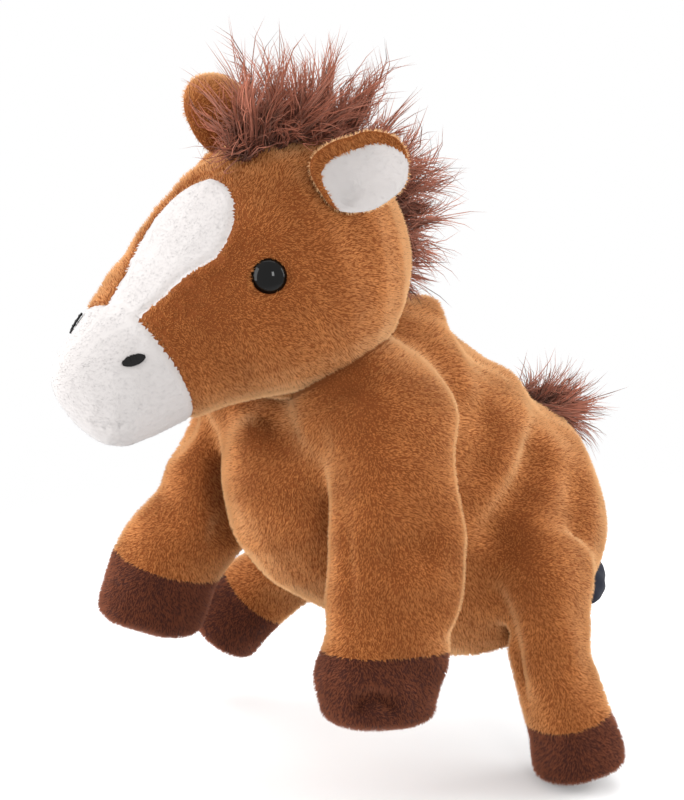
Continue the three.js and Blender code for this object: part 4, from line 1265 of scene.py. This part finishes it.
def mane_wisps(name, count, hairs, length, stray, gather):
    """Wisps on the crest of the head, from the forehead back over the crown."""
    at = rng.uniform(MANE_FROM, MANE_TO, count)
    x = rng.uniform(-0.5, 0.5, count) * MANE_WIDE
    late = (at - MANE_FROM) / (MANE_TO - MANE_FROM)
    turn, r = np.radians(at), np.sqrt((CRANIUM + MANE_SINK) ** 2 - x * x)
    centre = from_head(np.stack([x, -r * np.cos(turn), r * np.sin(turn)], -1))
    way = unit(centre - HEAD_AT) + np.outer(x / MANE_WIDE * MANE_FAN, HEAD_TURNED[:, 0])
    way = way + rng.normal(0, stray, (count, 3)) + np.outer(MANE_LEAN * (1 - late) ** 3, MANE_BACK)
    length = length * rng.uniform(*MANE_LENGTHS, count) * (MANE_TALL - MANE_LOSS * smooth(late, *MANE_LOSES))
    return wisps(name, centre, way, length, hairs, gather)


for which in SIDES:
    pieces[f"nostril_{which}"] = nostril(which)
pieces["mane"] = mane_wisps("mane_strands", *MANE_OUTER) + mane_wisps("mane_under", *MANE_UNDER)
tail_way = unit(points_of(NODES["tail"].data).mean(0) - JOINT_AT["tail_flop"])
tail_way = unit(tail_way - [0, 0, TAIL_HANG])
roots = shape.hit(TAIL_PIXEL) + rng.normal(0, 1, (TAIL_WISPS, 3)) * TAIL_ROOT
centre = np.array([p - n * TAIL_SINK for p, n, *_ in (shape.tree.find_nearest(Vector(r)) for r in roots)])
tail_root = centre.mean(0)
way = tail_way + (centre - tail_root) / TAIL_WIDE * TAIL_FAN + rng.normal(0, TAIL_STRAY, (TAIL_WISPS, 3))
length = TAIL_LENGTH * rng.uniform(*TAIL_LENGTHS, TAIL_WISPS)
pieces["tail"] = wisps("tail_strands", centre, way, length, TAIL_HAIRS, TAIL_GATHER)


# --- dressing the pieces ---
# How full the padded pieces are.
BODY_FULL, LEG_FULL, HOOF_FULL, HEAD_FULL, MUZZLE_FULL, EAR_FULL = 0.2, 0.4, 0.7, 0.8, 0.85, 0.2
# Cloth as it was cut: the lining is two panels side by side, the others are rolled into tubes.
LINING_FLAT, LINING_AREA = (0.34, 0.185), 0.046
CUFF_FLAT, SLEEVE_FLAT, STALL_FLAT = (0.24, 0.0165), (0.092, 0.044), (0.078, 0.046)
EYE_BARE = 0.93
# Lie of the pile: over the body, and over the face as fanning out, back, and down by a little and by its height.
BODY_NAP, FACE_FAN, FACE_BACK, FACE_DOWN, FACE_DROP = (0, 0.55, -0.83), 0.2, 40 * MM, 10 * MM, 0.3


def nap_body(p):
    """Pile lies back and down over the body."""
    return np.tile(unit(BODY_NAP), (len(p), 1))


def nap_head(p):
    """Pile lies from the nose back over the face."""
    x, _, z = in_head(p).T
    back = np.stack([x * FACE_FAN, np.full(len(p), FACE_BACK), -FACE_DOWN - FACE_DROP * np.abs(z)], 1)
    return unit(back) @ HEAD_TURNED.T


def under_head(p):
    return apart(p, HEAD_AT) < CRANIUM - HEAD_CLEAR


def near_eye(p):
    return np.minimum(*(apart(p, at) for at in eye_at.values())) < EYE_RADIUS * EYE_BARE


def under_neck(p):
    return ((p - HEAD_AT) @ NECK_DOWN > NECK_BARE) | near_eye(p)


def head_seam(p):
    """How far the nearer of the muzzle's and the blaze's seams is."""
    return np.minimum(np.abs(muzzle(p)), np.abs(blaze(p)))


def dress(key, look, body=None, blend=None, fill=None, nap=None, skip=None, seam=None, also=(), cloth=None):
    """Finish and pile of a piece, the body that it rides on (a blended piece only has its place baked), and the CAD
    nodes that it stands for, which are hidden: its own and also more.
    """
    made = pieces[key] if isinstance(pieces[key], list) else [pieces[key]]
    piece = made[0]
    for obj in made:
        obj.data.materials.clear()
        obj.data.materials.append(finish[f"{look}_ground" if look in PILE else look])
    if nap is not None:
        made = made + pile(piece, look, nap, skip, seam)
    for obj in made:
        if blend:
            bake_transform(obj)
        else:
            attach(obj, body)
    if key in NODES:
        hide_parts(key, *also)


for n in PANELS:
    dress(n, "brown", "torso", fill=BODY_FULL, nap=nap_body, skip=under_head)
for leg in legs.values():
    name, start = leg.name, leg.joint + leg.down * (leg.free + BEND_FROM)
    bend = (f"leg_{name}", Vector(start), Vector(start + leg.down * BEND_OVER))
    nap = lambda p, down=leg.down: np.tile(down, (len(p), 1))
    leg_also = () if leg.front else (f"leg_filling_{name}",)
    hoof_also = (f"hoof_sole_{name}", f"hoof_filling_{name}") if leg.front else (f"hoof_sole_{name}",)
    dress(f"leg_{name}", "brown", blend=bend, fill=LEG_FULL, nap=nap, also=leg_also)
    dress(f"hoof_{name}", "hoof", f"leg_{name}", fill=HOOF_FULL, nap=nap, also=hoof_also)
    if leg.front:
        cloth = {"flat": SLEEVE_FLAT, "held": "stretched", "rests_on": [f"leg_plush_{name}"]}
        dress(f"finger_sleeve_{leg.side}", "navy", blend=bend, cloth=cloth)
on_head = {"body": "head", "nap": nap_head}
for which in SIDES:
    dress(f"face_panel_{which}", "brown", fill=HEAD_FULL, skip=under_neck, seam=head_seam, **on_head)
dress("muzzle_panel", "white", fill=MUZZLE_FULL, seam=head_seam, also=("head_stuffing",), **on_head)
dress("blaze_panel", "white", fill=HEAD_FULL, skip=near_eye, seam=head_seam, **on_head)
for which in SIDES:
    dress(f"ear_{which}", "brown", fill=EAR_FULL, **on_head)
    dress(f"ear_lining_{which}", "white", fill=EAR_FULL, **on_head)
    dress(f"eye_{which}", "eye", "head")
    dress(f"nostril_{which}", "thread", "head")
    dress(f"eye_washer_{which}", "washer", "head")
dress("mane", "hair", "head")
dress("tail", "hair", blend=("tail", Vector(tail_root), Vector(tail_root + tail_way * TAIL_BEND)))
dress("hem", "brown", "torso")
body_plush = [pieces[n].name for n in PANELS]
lining_cloth = {"flat": LINING_FLAT, "area": LINING_AREA, "held": "hung", "rests_on": body_plush}
cuff_cloth = {"flat": CUFF_FLAT, "held": "gathered", "rests_on": body_plush, "with_pieces": [pieces["hem"]]}
stall_cloth = {"flat": STALL_FLAT, "held": "stretched", "rests_on": [lining.name]}
dress("glove_lining", "navy", "torso", cloth=lining_cloth)
dress("wrist_cuff", "navy", "torso", cloth=cuff_cloth)
dress("finger_stall", "navy", "neck", cloth=stall_cloth)


# --- stage ---
SENSOR = 36
# Lamps: place to the right, up and towards the camera from the middle of the view, and straight up; size, watts.
LAMPS = {
    "lamp_left": ((-0.9, 0.1, 0.15, 0), 0.9, 0.9, 11.5),
    "lamp_rim": ((0.85, 0.25, -0.05, 0), 0.6, 0.6, 5.5),
    "lamp_top": ((0, 0, -0.35, 0.9), 0.9, 0.9, 4),
    "lamp_front": ((0.3, 0, 1.1, 0), 0.2, 0.36, 2.8),
}
# The world's strength as light, and as it is seen, mirrored or looked through to.
WORLD_LIGHT, WORLD_SEEN = 1.04, 1.0
FLOOR_HALF, FLOOR_BELOW, FLOOR_WHITE, FLOOR_FADES = 3, 1 * MM, (0.92, 0.92, 0.92, 1), (0.12, 0.34)

scene = bpy.context.scene
scene.view_settings.view_transform = "Standard"
camera = link("camera", bpy.data.cameras.new("camera"))
scene.camera = camera
camera.data.sensor_width = SENSOR
camera.data.lens = SENSOR * FOCAL / PICTURE[1]
axes = np.column_stack([RIGHT, UPWARD, BACKWARD, EYE])
camera.matrix_world = Matrix(np.vstack([axes, [0, 0, 0, 1]]).tolist())

for name, (steps, wide, high, power) in LAMPS.items():
    light = bpy.data.lights.new(name, "AREA")
    light.shape, light.size, light.size_y, light.energy = "RECTANGLE", wide, high, power
    lamp = link(name, light)
    lamp.location = VIEW_AT + np.array(steps) @ np.array([RIGHT, UPWARD, BACKWARD, [0, 0, 1]])
    lamp.rotation_euler = (Vector(VIEW_AT) - lamp.location).to_track_quat("-Z", "Y").to_euler()

world = bpy.data.worlds.new("studio")
scene.world = world
world.use_nodes = True
sky = Graph(world.node_tree)
background = sky.tree.nodes["Background"]
ray = sky.node("ShaderNodeLightPath")
seen = ray["Is Camera Ray"].most(ray["Is Glossy Ray"]).most(ray["Is Transmission Ray"])
sky.put(background.inputs["Color"], (1, 1, 1, 1))
sky.put(background.inputs["Strength"], seen * (WORLD_SEEN - WORLD_LIGHT) + WORLD_LIGHT)

floor_low, corners = CAD_BOX[0][2] - FLOOR_BELOW, ((-1, -1), (1, -1), (1, 1), (-1, 1))
floor_at = [(x * FLOOR_HALF, y * FLOOR_HALF, floor_low) for x, y in corners]
floor = link("floor", mesh_from("floor", floor_at, [(0, 1, 2, 3)]))
f = Finish("floor_white")
f.set(Base_Color=FLOOR_WHITE, Roughness=0.9, Specular_IOR_Level=0.0)
far = f.node("ShaderNodeVectorMath", {"operation": "LENGTH"}, {0: f.place()})["Value"]
fades = {"Value": far, "From Min": FLOOR_FADES[0], "From Max": FLOOR_FADES[1]}
fade = f.node("ShaderNodeMapRange", {"interpolation_type": "SMOOTHSTEP"}, fades)[0]
clear = f.node("ShaderNodeBsdfTransparent")[0]
mixed = f.node("ShaderNodeMixShader", {}, {0: fade, 1: Field(f, f.surface.outputs[0]), 2: clear})[0]
f.put(f.tree.nodes["Material Output"].inputs["Surface"], mixed)
floor.data.materials.append(f.material)
